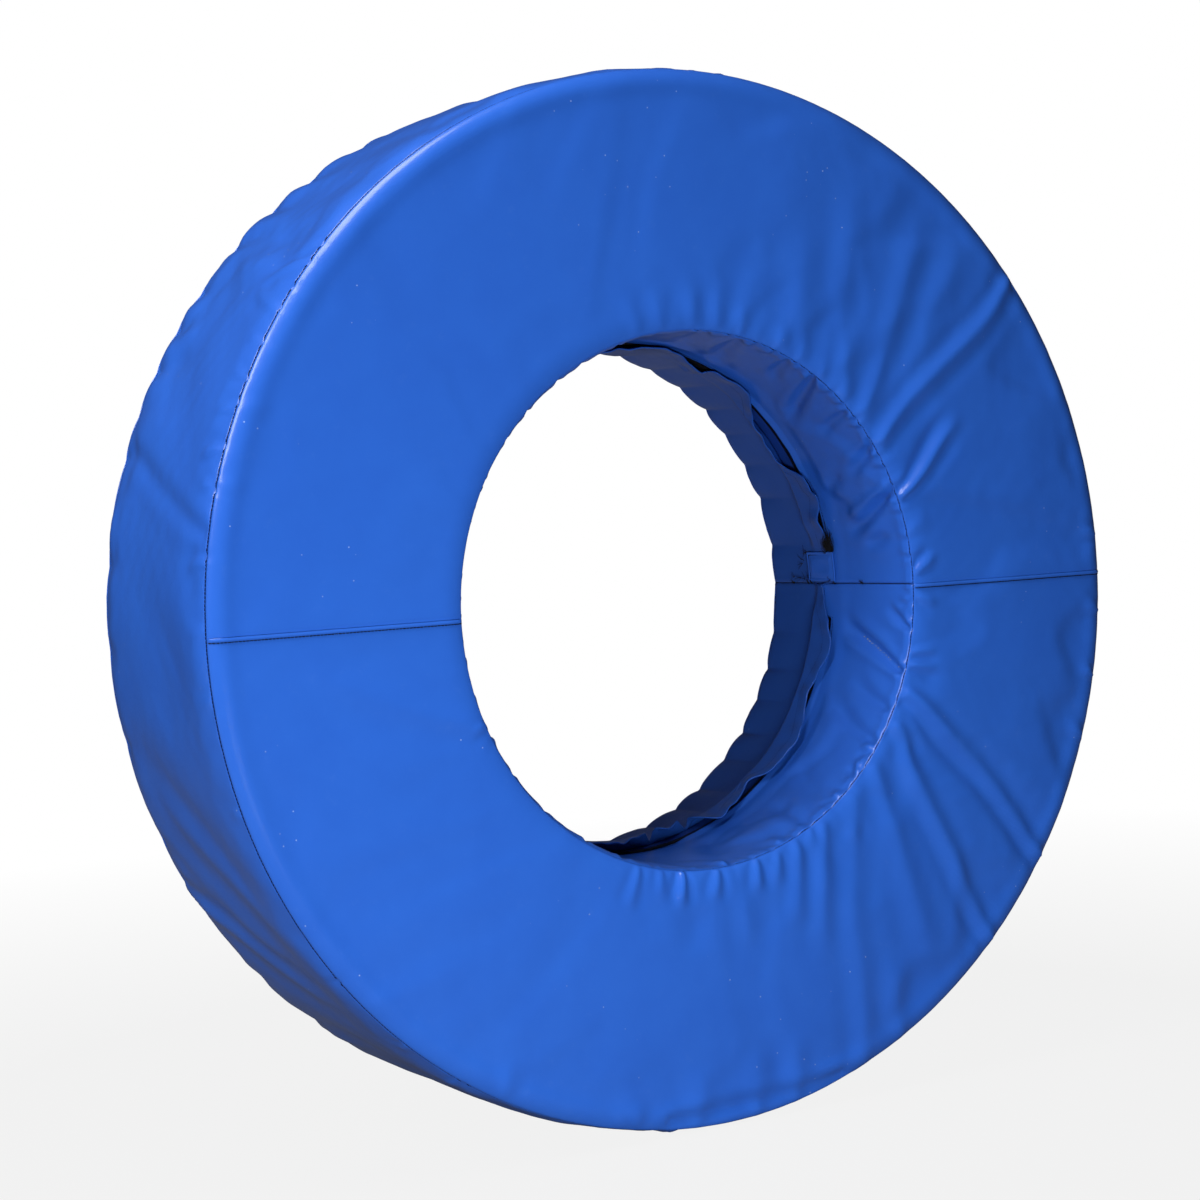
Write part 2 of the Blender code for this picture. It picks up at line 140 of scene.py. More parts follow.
def section_walk():
    """The section as dense points with the distance walked, and where its four seams and its end lie."""
    across_count, flat_count, roll_count = 569, 477, 60
    half, turns = SEAM_ACROSS, np.linspace(0, math.pi / 2, roll_count)
    across = np.linspace(-half, half, across_count)
    drawn = np.clip((np.abs(across) - FULL_TREAD) / (half - FULL_TREAD), 0, 1)
    tread = np.stack([RIM - (RIM - RIM_SEAM) * drawn**2, across], 1)
    rolled, bulge = ROLL * (1 - np.cos(turns)), half + (FACE_ACROSS - half) * np.sin(turns)
    rim_roll, bore_roll = np.stack([RIM_SEAM - rolled, bulge], 1), np.stack([BORE + rolled, bulge], 1)
    across_flat = np.full(flat_count, FACE_ACROSS)
    flat = np.stack([np.linspace(RIM_SEAM - ROLL, BORE + ROLL, flat_count), across_flat], 1)
    back_face = np.concatenate([rim_roll, flat[1:-1], bore_roll[::-1]])
    wall = np.stack([np.full(across_count, BORE), np.linspace(half, -half, across_count)], 1)
    front_face = back_face[::-1] * np.array([1, -1])
    parts = [tread, back_face[1:], wall[1:], front_face[1:]]
    points = np.concatenate(parts)
    steps = np.linalg.norm(np.diff(points, axis=0), axis=1)
    walked = np.concatenate([[0], np.cumsum(steps)])
    counts = np.cumsum([len(p) for p in parts]) - 1
    return points, walked, [0.0, *(float(walked[i]) for i in counts)]


SECTION, WALKED, SEAMS = section_walk()
ROUND = SEAMS[4]
TANGENT = np.gradient(SECTION, WALKED, axis=0)
TANGENT /= np.linalg.norm(TANGENT, axis=1)[:, None]
REGIONS = ("tread", "back_face", "bore", "front_face")
# Across the bore's wall, the padding's folds end before the zip and fade over this width
BORE_FOLDS_END, BORE_FOLDS_FADE = 0.004, 0.024


def on_section(walked):
    """Radius, place across and the outward normal's two parts, at a distance walked round the section."""
    w = np.clip(walked, 0, ROUND)
    radius, across = (np.interp(w, WALKED, SECTION[:, k]) for k in (0, 1))
    along_r, along_y = (np.interp(w, WALKED, TANGENT[:, k]) for k in (0, 1))
    size = np.hypot(along_r, along_y)
    return radius, across, along_y / size, -along_r / size


def bore_at(across):
    """The distance walked to that place across on the bore's wall."""
    return SEAMS[2] + SEAM_ACROSS - across


# Folds, listed one by one. Each is a line of (angle in degrees, radius or place across in mm), its half width
# and height in mm, and the depths of the hollows before and after it round the wheel, as shares of its height.

FRONT_FOLDS = [
    # below the cross seam on the right
    ([(-24, 308), (-24.6, 326), (-28.2, 388), (-30.3, 447), (-32.5, 500), (-35, 560), (-36, 592)],
     12.0, 4.2, 1.00, 0.35),
    ([(-31.5, 309), (-33.2, 332), (-37, 352), (-40.5, 397), (-44, 470), (-46.5, 530), (-48, 592)],
     13.0, 3.8, 0.70, 0.40),
    ([(-42, 309), (-46, 350), (-51, 420), (-54, 485), (-57, 572)], 13.0, 2.8, 0.5, 0.5),
    ([(-61, 495), (-63, 540), (-65, 592)], 13.0, 2.2, 0.5, 0.4),
    ([(-50, 310), (-54, 338), (-59, 380), (-64, 430), (-67, 505), (-71, 592)], 18.0, 1.9, 0.6, 0.45),
    ([(-60, 308), (-65, 352), (-69, 405), (-71, 460)], 10.0, 2.2, 0.6, 0.5),
    ([(-68, 308), (-71, 350), (-75, 405)], 9.0, 2.4, 0.6, 0.5),
    ([(-73.5, 308), (-76, 345)], 6.0, 2.0, 0.6, 0.6),
    ([(-84, 405), (-84, 330)], 9.0, 1.8, 0.5, 0.5),
    ([(-94, 592), (-93, 520)], 13.0, 2.0, 0.5, 0.5),
    ([(-86, 592), (-85, 515)], 13.0, 2.2, 0.5, 0.6),
    ([(-80.5, 592), (-79, 510)], 12.0, 2.0, 0.6, 0.5),
    ([(-57, 356), (-54, 330)], 5.5, 1.6, 0.7, 0.5),
    ([(-32.5, 368), (-29, 324)], 5.5, 2.0, 1.0, 0.5),
    ([(-17, 348), (-18, 306)], 5.0, 3.6, 0.8, 0.4),
    ([(-13.5, 343), (-15, 306)], 4.5, 2.4, 0.6, 0.4),
    ([(-4.5, 336), (-2.5, 306)], 5.0, 3.2, 0.6, 0.5),
    ([(-66, 328), (-63, 304)], 5.0, 1.8, 0.8, 0.5),
    ([(-91, 342), (-89, 305)], 5.5, 2.6, 0.6, 0.8),
    ([(-98.5, 342), (-98, 305)], 5.5, 2.2, 0.6, 0.6),
    ([(-80.5, 345), (-79, 305)], 5.5, 2.9, 0.6, 0.8),
    ([(-25, 560), (-22, 500), (-19, 440)], 22.0, 1.4, 0.3, 0.3),
    ([(-12, 585), (-12, 500), (-10, 420)], 26.0, 1.2, 0.3, 0.3),
    ([(-104, 592), (-103, 545)], 13.0, 1.5, 0.5, 0.5),
    ([(4.5, 592), (5, 566)], 4.5, 3.0, 0.6, 0.6),
    ([(-5, 592), (-4, 562)], 5.5, 2.6, 0.6, 0.6),
    ([(-13, 592), (-12, 568)], 4.5, 3.0, 0.6, 0.6),
    ([(-20.5, 592), (-19, 558)], 6.5, 2.6, 0.6, 0.6),
    # above the cross seam on the right
    ([(19.7, 305), (22, 337), (25.5, 383), (28, 430)], 6.5, 4.4, 0.6, 0.9),
    ([(33, 309), (34.8, 345), (36, 413), (36.2, 520), (38, 592)], 13.0, 4.0, 0.7, 0.6),
    ([(41, 400), (42, 437), (43.7, 482), (45.5, 572)], 12.0, 2.6, 0.5, 0.6),
    ([(40.5, 309), (43, 350), (45.5, 387), (48.8, 452), (52, 530), (53, 572)], 13.0, 2.6, 0.5, 0.5),
    ([(46, 308), (51, 338), (57.3, 395), (59.6, 446), (62.5, 500), (64.5, 550)], 14.0, 2.0, 0.4, 0.4),
    ([(64, 325), (67, 400), (69, 460)], 13.0, 1.4, 0.5, 0.5),
    ([(54, 306), (56, 340), (59, 372)], 8.0, 1.0, 0.6, 0.4),
    ([(60, 305), (63, 350)], 7.5, 1.2, 0.6, 0.5),
    ([(66, 305), (68.5, 340)], 7.0, 1.1, 0.7, 0.5),
    ([(77, 304), (77.5, 342)], 7.5, 1.4, 0.6, 0.6),
    ([(83, 306), (84, 386)], 9.5, 1.2, 0.5, 0.7),
    ([(89, 305), (89.5, 356)], 8.0, 1.0, 0.6, 0.5),
    ([(2.6, 306), (6, 338)], 5.0, 3.4, 0.4, 0.9),
    ([(12, 306), (14, 340)], 8.0, 1.2, 0.5, 0.5),
    ([(20, 480), (23, 585)], 26.0, 1.4, 0.3, 0.3),
    ([(10, 420), (14, 540)], 28.0, 1.1, 0.3, 0.3),
    ([(72, 420), (74, 575)], 24.0, 1.2, 0.4, 0.3),
    # the quieter left half
    ([(97, 306), (97.5, 362)], 9.0, 1.0, 0.5, 0.5),
    ([(102.5, 306), (104, 358)], 9.0, 0.9, 0.5, 0.5),
    ([(157, 592), (156, 560)], 7.0, 0.9, 0.4, 0.4),
    ([(165, 592), (164.5, 566)], 7.0, 0.9, 0.4, 0.4),
    ([(183, 512), (190, 420), (197, 352), (202, 308)], 15.0, 1.9, 0.3, 0.5),
    ([(201.5, 326), (202.5, 303)], 4.0, 1.5, 0.5, 0.5),
    ([(222, 590), (226, 520), (228, 460)], 18.0, 1.1, 0.3, 0.3),
    ([(241, 592), (240, 545)], 10.0, 1.4, 0.4, 0.4),
    ([(251, 306), (250.5, 360)], 5.5, 1.8, 0.5, 0.6),
    ([(256.5, 304), (257, 340)], 5.0, 1.4, 0.5, 0.5),
    ([(262, 303), (262, 350)], 5.0, 2.4, 0.5, 0.7),
    ([(265.5, 340), (265, 405)], 13.0, -2.0, 0.3, 0.3),
    ([(262, 585), (273, 577), (287, 588)], 11.0, -6.0, 0.2, 0.4),
    ([(258, 592), (258, 560)], 9.0, 1.8, 0.5, 0.5),
]
TREAD_FOLDS = [
    # seen from 100 to 255 degrees, as (angle, place across); the back edge dips between its peaks
    ([(116.5, 138), (117.5, 70)], 14.0, -2.7, 0.3, 0.3),
    ([(123.5, 140), (124, 60)], 14.0, -3.4, 0.35, 0.35),
    ([(129, 140), (129.5, 50)], 14.0, -3.0, 0.3, 0.35),
    ([(135.5, 141), (134.5, 70), (136, 0), (137.5, -110)], 14.0, -3.4, 0.35, 0.4),
    ([(141.5, 140), (142.5, 60)], 14.0, -2.7, 0.35, 0.35),
    ([(146.5, 140), (146, 75)], 14.0, -2.4, 0.3, 0.3),
    ([(151.5, 140), (151, 70), (152, 20)], 14.0, -2.7, 0.35, 0.3),
    ([(161.5, 140), (161, 100), (165, 0), (170, -138)], 14.0, -2.3, 0.35, 0.3),
    ([(119, 30), (119, -130)], 14.0, -2.4, 0.3, 0.3),
    ([(128, 10), (128.5, -130)], 14.0, -2.4, 0.3, 0.3),
    ([(125.5, 110), (125.5, 0)], 12.0, 2.2, 0.3, 0.3),
    ([(140, 64), (140, -60)], 12.0, 2.4, 0.3, 0.3),
    ([(147.5, 104), (147.5, 50)], 10.0, 2.4, 0.3, 0.3),
    ([(158, 120), (158, -30)], 20.0, 2.4, 0.3, 0.3),
    ([(140, -140), (141.3, -100), (143, -58)], 5.5, 2.2, 0.7, 0.3),
    ([(146.3, -140), (145, -100), (143.2, -58)], 5.5, 2.2, 0.3, 0.7),
    ([(138, -141), (138, -112)], 4.0, 1.8, 0.6, 0.6),
    ([(150, -141), (149.5, -110)], 4.0, 1.9, 0.6, 0.6),
    ([(154, -141), (153, -108)], 4.0, 2.0, 0.6, 0.6),
    ([(156.8, -141), (157.5, -104)], 4.5, 2.2, 0.6, 0.8),
    ([(161, -141), (162, -96)], 5.0, 2.6, 0.8, 0.6),
    ([(165.5, -141), (164.8, -112)], 4.5, 1.8, 0.6, 0.6),
    ([(172, -141), (173.5, -100)], 5.5, 1.8, 0.6, 0.4),
    ([(179, -141), (180, -115)], 6.0, 1.2, 0.4, 0.4),
    ([(186, -141), (187, -118)], 6.0, 1.2, 0.4, 0.4),
    ([(173, 140), (172, 90)], 14.0, -1.9, 0.3, 0.3),
    ([(182, 140), (183, 100)], 14.0, -1.5, 0.3, 0.3),
    ([(196.5, 108), (198.5, 60), (202, 10), (205, -30), (208, -60), (211, -90), (214, -112), (218, -126)],
     15.0, 3.8, 0.25, 0.85),
    ([(209, 142), (212, 100), (216, 40), (219, 0), (222, -50), (225, -104)], 15.0, 3.4, 0.75, 0.35),
    ([(211, 30), (214, -10), (217, -60)], 10.0, 1.2, 0.4, 0.4),
    ([(192, 140), (193, 110)], 14.0, -1.6, 0.3, 0.3),
    ([(203, 141), (205, 100), (208, 60)], 14.0, -1.6, 0.2, 0.2),
    ([(232, 138), (233, 40), (235, -60)], 16.0, 1.8, 0.4, 0.4),
    ([(222, 140), (223, 112)], 14.0, -1.9, 0.3, 0.3),
    ([(229, 140), (230, 110)], 14.0, -1.6, 0.3, 0.3),
    ([(240, 140), (241, 110)], 14.0, -1.8, 0.3, 0.3),
    ([(228.5, -140), (229, -118)], 4.5, 1.8, 0.7, 0.5),
    ([(236, -140), (236, -112)], 5.0, 1.6, 0.6, 0.5),
    ([(197.5, -140), (198, -120)], 5.0, 1.4, 0.5, 0.5),
    ([(244, 60), (246, -70)], 16.0, 1.6, 0.4, 0.4),
    ([(104, 130), (105, 20), (107, -60)], 15.0, 2.2, 0.4, 0.4),
    ([(110, 140), (110.5, 90)], 14.0, -2.2, 0.3, 0.3),
]
BORE_FOLDS = [
    # gathers along the bore's front seam and the long folds that run from them, as (angle, place across)
    ([(22, -141), (18, -100), (14, -60), (12, -22)], 6.5, -5.98, 0.45, 0.70),
    ([(34, -141), (30, -110), (26, -68)], 6.0, -4.42, 0.45, 0.6),
    ([(55, -141), (51, -100), (46, -50), (40, 0)], 7.0, -4.94, 0.45, 0.6),
    ([(75, -132), (70, -60), (65, 0)], 8.0, -4.16, 0.45, 0.5),
    ([(11, -112), (9, -56)], 5.0, -2.86, 0.4, 0.5),
    ([(27, -60), (23, -10)], 6.0, -2.86, 0.4, 0.4),
    ([(43, -136), (40, -90), (37, -52)], 5.5, -3.12, 0.4, 0.5),
    ([(62, -138), (59, -92), (55, -52)], 6.0, -3.38, 0.4, 0.5),
    ([(84, -136), (81, -80), (77, -20)], 8.0, -3.38, 0.4, 0.4),
    ([(-20, -137), (-15, -80), (-11, -30), (-8, 2)], 6.5, -5.72, 0.6, 0.45),
    ([(-10, -137), (-5, -88)], 5.0, -3.64, 0.5, 0.5),
    ([(-3.5, -136), (-3, -112)], 4.0, 2.34, 0.5, 0.5),
    ([(-29, -136), (-26, -90), (-22, -40)], 7.0, -3.12, 0.4, 0.4),
    ([(-37, -138), (-35, -100), (-31, -50), (-28, 0)], 7.5, -3.38, 0.4, 0.4),
    ([(-46, -141), (-42, -122)], 4.5, 3.12, 0.9, 0.5),
    ([(-39, -140), (-38.5, -112)], 4.5, 2.47, 0.7, 0.5),
    ([(-53, -141), (-52, -122)], 4.5, 2.86, 0.7, 0.6),
    ([(-55, -120), (-50, -60), (-44, -10)], 8.0, -2.86, 0.4, 0.4),
    ([(-71, -138), (-70, -104)], 6.0, 2.86, 0.6, 0.5),
    ([(-86, -139), (-85, -110)], 5.0, 3.38, 0.9, 0.6),
    ([(-81, -92), (-77, -40), (-72, 12)], 11.0, -3.9, 0.5, 0.4),
    ([(-62, -136), (-60, -80), (-57, -20)], 9.0, -2.86, 0.4, 0.4),
]


def fold_line(points):
    """A smooth line of many points through a fold's few given ones."""
    p = np.array(points, float)
    if len(p) < 3:
        return p[0] + np.linspace(0, 1, 13)[:, None] * (p[-1] - p[0])
    ends = np.concatenate([[2 * p[0] - p[1]], p, [2 * p[-1] - p[-2]]])
    line = []
    for a, b, c, d in zip(ends, ends[1:], ends[2:], ends[3:]):
        square, cube = 2 * a - 5 * b + 4 * c - d, 3 * b - a - 3 * c + d
        for t in np.linspace(0, 1, 8, endpoint=False):
            line.append(0.5 * (2 * b + (c - a) * t + square * t**2 + cube * t**3))
    return np.array([*line, p[-1]])


def flat_place(region, angle, place):
    """A flat map of a region, in mm: a face as it lies, and the tread and the bore unrolled."""
    if region == "face":
        return np.stack([place * np.cos(angle), place * np.sin(angle)], -1)
    return np.stack([angle * (RIM if region == "tread" else BORE) / MM, place + 0 * angle], -1)


def beside_path(q, path):
    """How the points q of a flat map lie beside a path.

    Returns their distances to it, the same signed by side, how far along it they lie, and its whole length.
    """
    best = np.full(len(q), 1e9)
    signed, walked = np.zeros(len(q)), np.zeros(len(q))
    done = 0.0
    for a, b in zip(path, path[1:]):
        step = b - a
        length = max(float(np.hypot(*step)), 1e-6)
        t = np.clip(((q - a) @ step) / length**2, 0, 1)
        off = q - (a + t[:, None] * step)
        distance = np.hypot(off[:, 0], off[:, 1])
        closer = distance < best
        side = np.sign(step[0] * off[:, 1] - step[1] * off[:, 0])
        best[closer] = distance[closer]
        signed[closer] = (distance * side)[closer]
        walked[closer] = (done + t * length)[closer]
        done += length
    return best, signed, walked, done


def sewn_down(region, place):
    """Whether the end of a fold, at that radius or place across in mm, is held by a round seam."""
    if region == "face":
        inner, outer = 314, 584
        return place < inner or place > outer
    seam, near = 141, 10
    return abs(abs(place) - seam) < near


def folded(region, angle, place, folds):
    """Height of all the folds at points of a region. Angles are in radians, places and heights in mm."""
    height = np.zeros(np.broadcast(angle, place).shape)
    if region == "face":
        local = flat_place(region, angle, place)
    for points, half_width, rise, before, after in folds:
        line = fold_line(points)
        if region != "face":
            middle = math.radians(line[:, 0].mean())
            turn = FULL_TURN * np.round((angle - middle) / FULL_TURN)
            local = flat_place(region, angle - turn, place)
        path = flat_place(region, np.radians(line[:, 0]), line[:, 1])
        reach = 4.2 * half_width
        low, high = path.min(0) - reach, path.max(0) + reach
        near = np.all((local > low) & (local < high), axis=-1)
        if not near.any():
            continue
        best, signed, walked, length = beside_path(local[near], path)
        # A face's folds are drawn inwards or outwards, so the sign is turned to run with the angle
        run = 1.0 if (path[-1] - path[0]) @ flat_normal(region, path) > 0 else -1.0
        grown = walked / max(length, 1e-6)
        held = [sewn_down(region, end[1]) for end in (line[0], line[-1])]
        # A fold is narrow and steep where it is sewn down, and it widens and fades away at a free end
        first, last = (0.62 if end else 1.35 for end in held)
        wide = half_width * (first * (1 - grown) + last * grown + 0.9 * grown * (1 - grown))
        u = signed * run / wide
        hollows = before * np.exp(-((u + 1.75) ** 2) * 0.9) + after * np.exp(-((u - 1.75) ** 2) * 0.9)
        ends = [5.0 if end else 0.34 * length + 4 for end in held]
        fade = smooth((walked + 2) / (ends[0] + 2)) * smooth((length - walked + 2) / (ends[1] + 2))
        beyond = np.exp(-np.clip(best - np.abs(signed), 0, None) / (0.6 * half_width))
        height[near] += rise * (np.exp(-np.abs(u) ** 1.7) - hollows) * fade * beyond
    return height


def flat_normal(region, path):
    """The flat direction, outwards or across, against which a fold's line is said to run with the angle."""
    if region == "face":
        middle = path[len(path) // 2]
        return middle / np.hypot(*middle)
    return np.array([0.0, -1.0])


def pucker_rows(seed, around, strength):
    """Seeded little gathers along a seam: (angle, half width in mm, height in mm, length in mm)."""
    rng = random.Random(seed)
    rows, angle = [], 0.0
    while angle < 360:
        half_width = rng.uniform(3.5, 7.0)
        height = rng.uniform(0.5, 1.3) * strength(angle) * rng.choice((1, 1, -1))
        rows.append((angle, half_width, height, rng.uniform(14, 34)))
        angle += math.degrees(rng.uniform(0.016, 0.042) / around)
    return rows


def puckered(rows, angle, share, away, radius):
    """Height of a seam's gathers at angles, a distance in mm away from the seam, fading with it.

    share says how much of them that side shows. On the seam itself both sides show the same.
    """
    height = np.zeros(np.broadcast(angle, away).shape)
    for at, half_width, rise, length in rows:
        off = (angle - math.radians(at) + math.pi) % FULL_TURN - math.pi
        off_mm = off * radius / MM + 0.12 * away * math.sin(at * 7.1)
        near = (np.abs(off_mm) < 3.4 * half_width) & (away < 2.6 * length)
        if near.any():
            u = off_mm[near] / half_width
            section = np.exp(-u * u) - 0.35 * np.exp(-((np.abs(u) - 1.7) ** 2))
            height[near] += rise * section * np.exp(-((away[near] / length) ** 1.5))
    return height * (share + (0.35 - share) * np.exp(-away / 2.5))


def scalloped(notches, angle):
    """Depth of a seam that is pulled in at its notches and bulges evenly between them, in mm."""
    at, depth = np.array([*notches, (notches[0][0] + 360, notches[0][1])], float).T
    degrees = (np.degrees(angle) - at[0]) % 360 + at[0]
    k = np.clip(np.searchsorted(at, degrees, side="right") - 1, 0, len(notches) - 1)
    t = (degrees - at[k]) / (at[k + 1] - at[k])
    return -(depth[k] + (depth[k + 1] - depth[k]) * t) * np.abs(2 * t - 1) ** 2.3


def unseen_folds(seed, start, end, region):
    """Seeded folds for the side that the photograph doesn't show, of the kinds that it shows elsewhere."""
    rng = random.Random(seed)
    folds, angle = [], start
    while angle < end:
        size = rng.uniform(0.5, 1.0)
        lean = rng.uniform(-4, 4)
        if region == "tread":
            kind = rng.random()
            if kind < 0.42:
                line = [(angle, 140), (angle + lean / 3, rng.uniform(50, 105))]
                folds.append((line, rng.uniform(12, 16), -2.4 * size, 0.3, 0.35))
            elif kind < 0.75:
                line = [(angle, -141), (angle + lean / 3, rng.uniform(-112, -70))]
                folds.append((line, rng.uniform(6, 10), -3.4 * size, 0.4, 0.4))
            else:
                line = [(angle - lean, 138), (angle, 0), (angle + lean, -138)]
                folds.append((line, rng.uniform(10, 15), 3.0 * size, 0.5, 0.4))
            angle += rng.uniform(3.6, 8.0)
        elif region == "bore":
            line = [(angle, -140), (angle - lean, -90), (angle - 2 * lean, rng.uniform(-50, 10))]
            folds.append((line, rng.uniform(5, 8), -2.8 * size, 0.4, 0.5))
            angle += rng.uniform(7, 13)
        else:
            if rng.random() < 0.6:
                line = [(angle, 305), (angle + lean / 2, rng.uniform(335, 400))]
                folds.append((line, rng.uniform(4.5, 8), 2.4 * size, 0.6, 0.5))
            else:
                line = [(angle, 592), (angle + lean, 500), (angle + 1.6 * lean, rng.uniform(340, 430))]
                folds.append((line, rng.uniform(8, 11), 3.0 * size, 0.6, 0.5))
            angle += rng.uniform(5.5, 12)
    return folds


# Gathers on the front seams, listed where the photograph shows them: (angle, half width, height, length)
RIM_GATHERS = [138, 140.4, 143.5, 146, 150, 154, 156.5, 161, 165.5, 172, 218, 236.5]
RIM_FRONT_GATHERS = [(a, 3.4, -3.4, 13) for a in RIM_GATHERS]
UPPER_GATHERS = [6, 10, 16, 20, 22.6, 27, 30, 34.5, 38, 40.5, 45, 49, 55, 60, 66, 71, 78, 86]
LOWER_GATHERS = [-4, -10, -19, -27, -33, -39.5, -44, -50, -56, -63, -67, -74, -79.5, -85]
BORE_FRONT_GATHERS = [(a, 3.2, -1.5, 15) for a in UPPER_GATHERS]
BORE_FRONT_GATHERS += [(a + 1.3, 3.5, 1.1, 13) for a in UPPER_GATHERS]
BORE_FRONT_GATHERS += [(a, 4.5, -1.5, 18) for a in LOWER_GATHERS]
# Where the back rim seam and the back bore seam are pulled in between their bulges: (angle, depth in mm)
BACK_NOTCHES = [
    (-99, 3.5), (-92, 3), (-84, 3.5), (-77, 3), (-69, 4), (-62, 3), (-54, 3.5), (-47, 4), (-39, 3),
    (-31, 3.5), (-24, 3), (-16, 4), (-8, 3), (0, 4), (8, 3.5), (15, 3), (23, 4), (30, 3), (38, 3.5), (46, 4),
    (53, 3), (61, 3.5), (68, 3), (76, 3), (84, 3), (92, 3), (101, 3), (110, 3.5), (116.5, 4.5), (123.5, 4.8),
    (129, 4.4), (135.5, 5), (141.5, 4), (146.5, 3.6), (151.5, 4), (156.5, 3), (161.5, 3.6), (173, 3.4),
    (182, 2.6), (192, 3), (203, 3), (211, 2.6), (222, 3), (229, 2.6), (240, 3), (250, 3), (261, 3.5),
]
BORE_NOTCHES = [
    (-84, 5), (-73, 4.5), (-64, 5), (-56, 5), (-46, 3.5), (-38, 5), (-29, 3), (-21, 4), (-12, 2.5), (0, 2),
    (9, 3.5), (21, 5), (30, 3.5), (39, 3), (47, 5), (56, 4), (65, 3), (74, 4.5), (84, 3), (94, 4), (106, 3.5),
    (118, 4.5), (131, 3.5), (143, 4), (156, 3.5), (168, 4.5), (181, 3), (194, 4), (206, 4.5), (219, 3),
    (231, 4.5), (244, 3.5), (257, 4.5), (266, 3.5),
]


# Heights in mm beside the seams: the crease and the wider dip that every thread draws in, the dip of the rim
# seams, the padding that swells up between a rim seam and a face, the same at the back bore seam, and the lip of
# the bore's front wall at the wheel's right side and how much more it is on its left
CREASE, DIP, RIM_DIP, RIM_SWELL, BORE_SWELL = 2.5, 0.9, 1.6, 3.0, 2.0
LIP_RIGHT, LIP_LEFT_MORE = 1.4, 3.4
# How deep the back rim seam's notches are, as a share of their table
BACK_NOTCHED = 0.72


def stronger_right(degrees):
    """1 at the wheel's right side, less towards its top and bottom, and a little under a half on its left."""
    right = math.cos(math.radians(degrees))
    return 0.45 + 0.55 * right**2 * (right > 0)


class Cover:
    """The padded cover: how far each of its points stands out from the plain section, in metres."""

    def __init__(self, swell):
        self.swell = swell
        self.folds = {
            "tread": ("tread", TREAD_FOLDS + unseen_folds(5, 262, 455, "tread")),
            "bore": ("bore", BORE_FOLDS + unseen_folds(7, 96, 268, "bore")),
            "front_face": ("face", FRONT_FOLDS),
            "back_face": ("face", unseen_folds(9, 4, 352, "face")),
        }
        self.seams = (
            pucker_rows(21, RIM, lambda degrees: 0.3) + RIM_FRONT_GATHERS,
            pucker_rows(22, RIM, lambda degrees: 0.25),
            pucker_rows(23, BORE, lambda degrees: 0.3),
            pucker_rows(24, BORE, lambda degrees: 0.5 * stronger_right(degrees)) + BORE_FRONT_GATHERS,
        )

    def height(self, region, walked, angle):
        """Height over the plain section, in metres: the folds and the swell, and what each seam draws in."""
        k = REGIONS.index(region)
        start, end = SEAMS[k], SEAMS[k + 1]
        from_start, from_end = np.maximum(walked - start, 0) / MM, np.maximum(end - walked, 0) / MM
        radius, across = on_section(walked)[:2]
        kind, folds = self.folds[region]
        place = radius / MM if kind == "face" else across / MM
        height = folded(kind, angle, place, folds) + self.swollen(region, walked, angle)
        height = height * smooth((np.minimum(from_start, from_end) + 0.5) / 7)
        if region == "bore":
            height = height * smooth((BORE_FOLDS_END - across) / BORE_FOLDS_FADE)
        for away, seam in ((from_start, k), (from_end, (k + 1) % 4)):
            around = RIM if seam < 2 else BORE
            share = 0.3 if kind == "face" and seam in (0, 2, 3) else 1.0
            height = height + puckered(self.seams[seam], angle, share, away, around)
            height = height - CREASE * fading(away, 1.5, 1.3) - DIP * fading(away, 5)
            if seam < 2:
                height = height - RIM_DIP * fading(away, 4)
                if kind == "face":
                    height = height + RIM_SWELL * np.exp(-(((away - 18) / 12) ** 2))
            if seam == 1:
                height = height + BACK_NOTCHED * scalloped(BACK_NOTCHES, angle) * fading(away, 52, 1.4)
            elif seam == 2:
                height = height + (BORE_SWELL + scalloped(BORE_NOTCHES, angle)) * fading(away, 45, 1.4)
            elif seam == 3 and kind == "bore":
                lip = LIP_RIGHT + LIP_LEFT_MORE * smooth(-np.cos(angle) * 2)
                height = height + lip * np.exp(-(((away - 10) / 6.5) ** 2))
        return height * MM

    def swollen(self, region, walked, angle):
        """The simulated swell there in mm, quieter where the photograph shows the cover pulled smooth."""
        if self.swell is None:
            return 0.0
        rows, columns = self.swell.shape
        row = np.interp(walked, SEAMS, np.cumsum([0, *SIM_ROWS]) * (rows / sum(SIM_ROWS)))
        row, column = np.broadcast_arrays(row, (angle % FULL_TURN) / FULL_TURN * columns)
        i, j = np.floor(row).astype(int), np.floor(column).astype(int)
        s, t = row - i, column - j
        shares = ((0, 0, (1 - s) * (1 - t)), (1, 0, s * (1 - t)), (0, 1, (1 - s) * t), (1, 1, s * t))
        value = sum(self.swell[(i + a) % rows, (j + b) % columns] * share for a, b, share in shares)
        quiet = 0.18 + 0.6 * smooth((np.cos(angle) + 0.1) / 0.9) if region == "front_face" else 0.7
        return value * quiet

    def place(self, region, walked, angle, lift=0.0):
        """Points of the cover, raised by lift, and their outward directions on the plain section."""
        radius, across, out, sideways = on_section(walked)
        angle, radius, across, out, sideways = np.broadcast_arrays(angle, radius, across, out, sideways)
        normal = wheel_normals(out, sideways, angle)
        height = self.height(region, np.broadcast_to(walked, angle.shape), angle) + lift
        points = wheel_points(radius, across, angle) + normal * height[..., None]
        if region in ("tread", "front_face", "back_face"):
            points[..., 2] = rested(points[..., 2])
        return points, normal


def fading(away, reach, power=1.0):
    """1 on a seam, and less with the distance away from it in mm."""
    return np.exp(-((away / reach) ** power))


def rested(z):
    """Pressed flat where the wheel stands, with a soft edge to the flat."""
    soft = 0.0012
    pressed = soft * np.exp(np.clip((z - soft) / soft, -8, 0)) * 0.6 + np.maximum(z - soft, 0)
    return np.where(z < soft, pressed + 0.4 * np.clip(z, 0, soft), z)


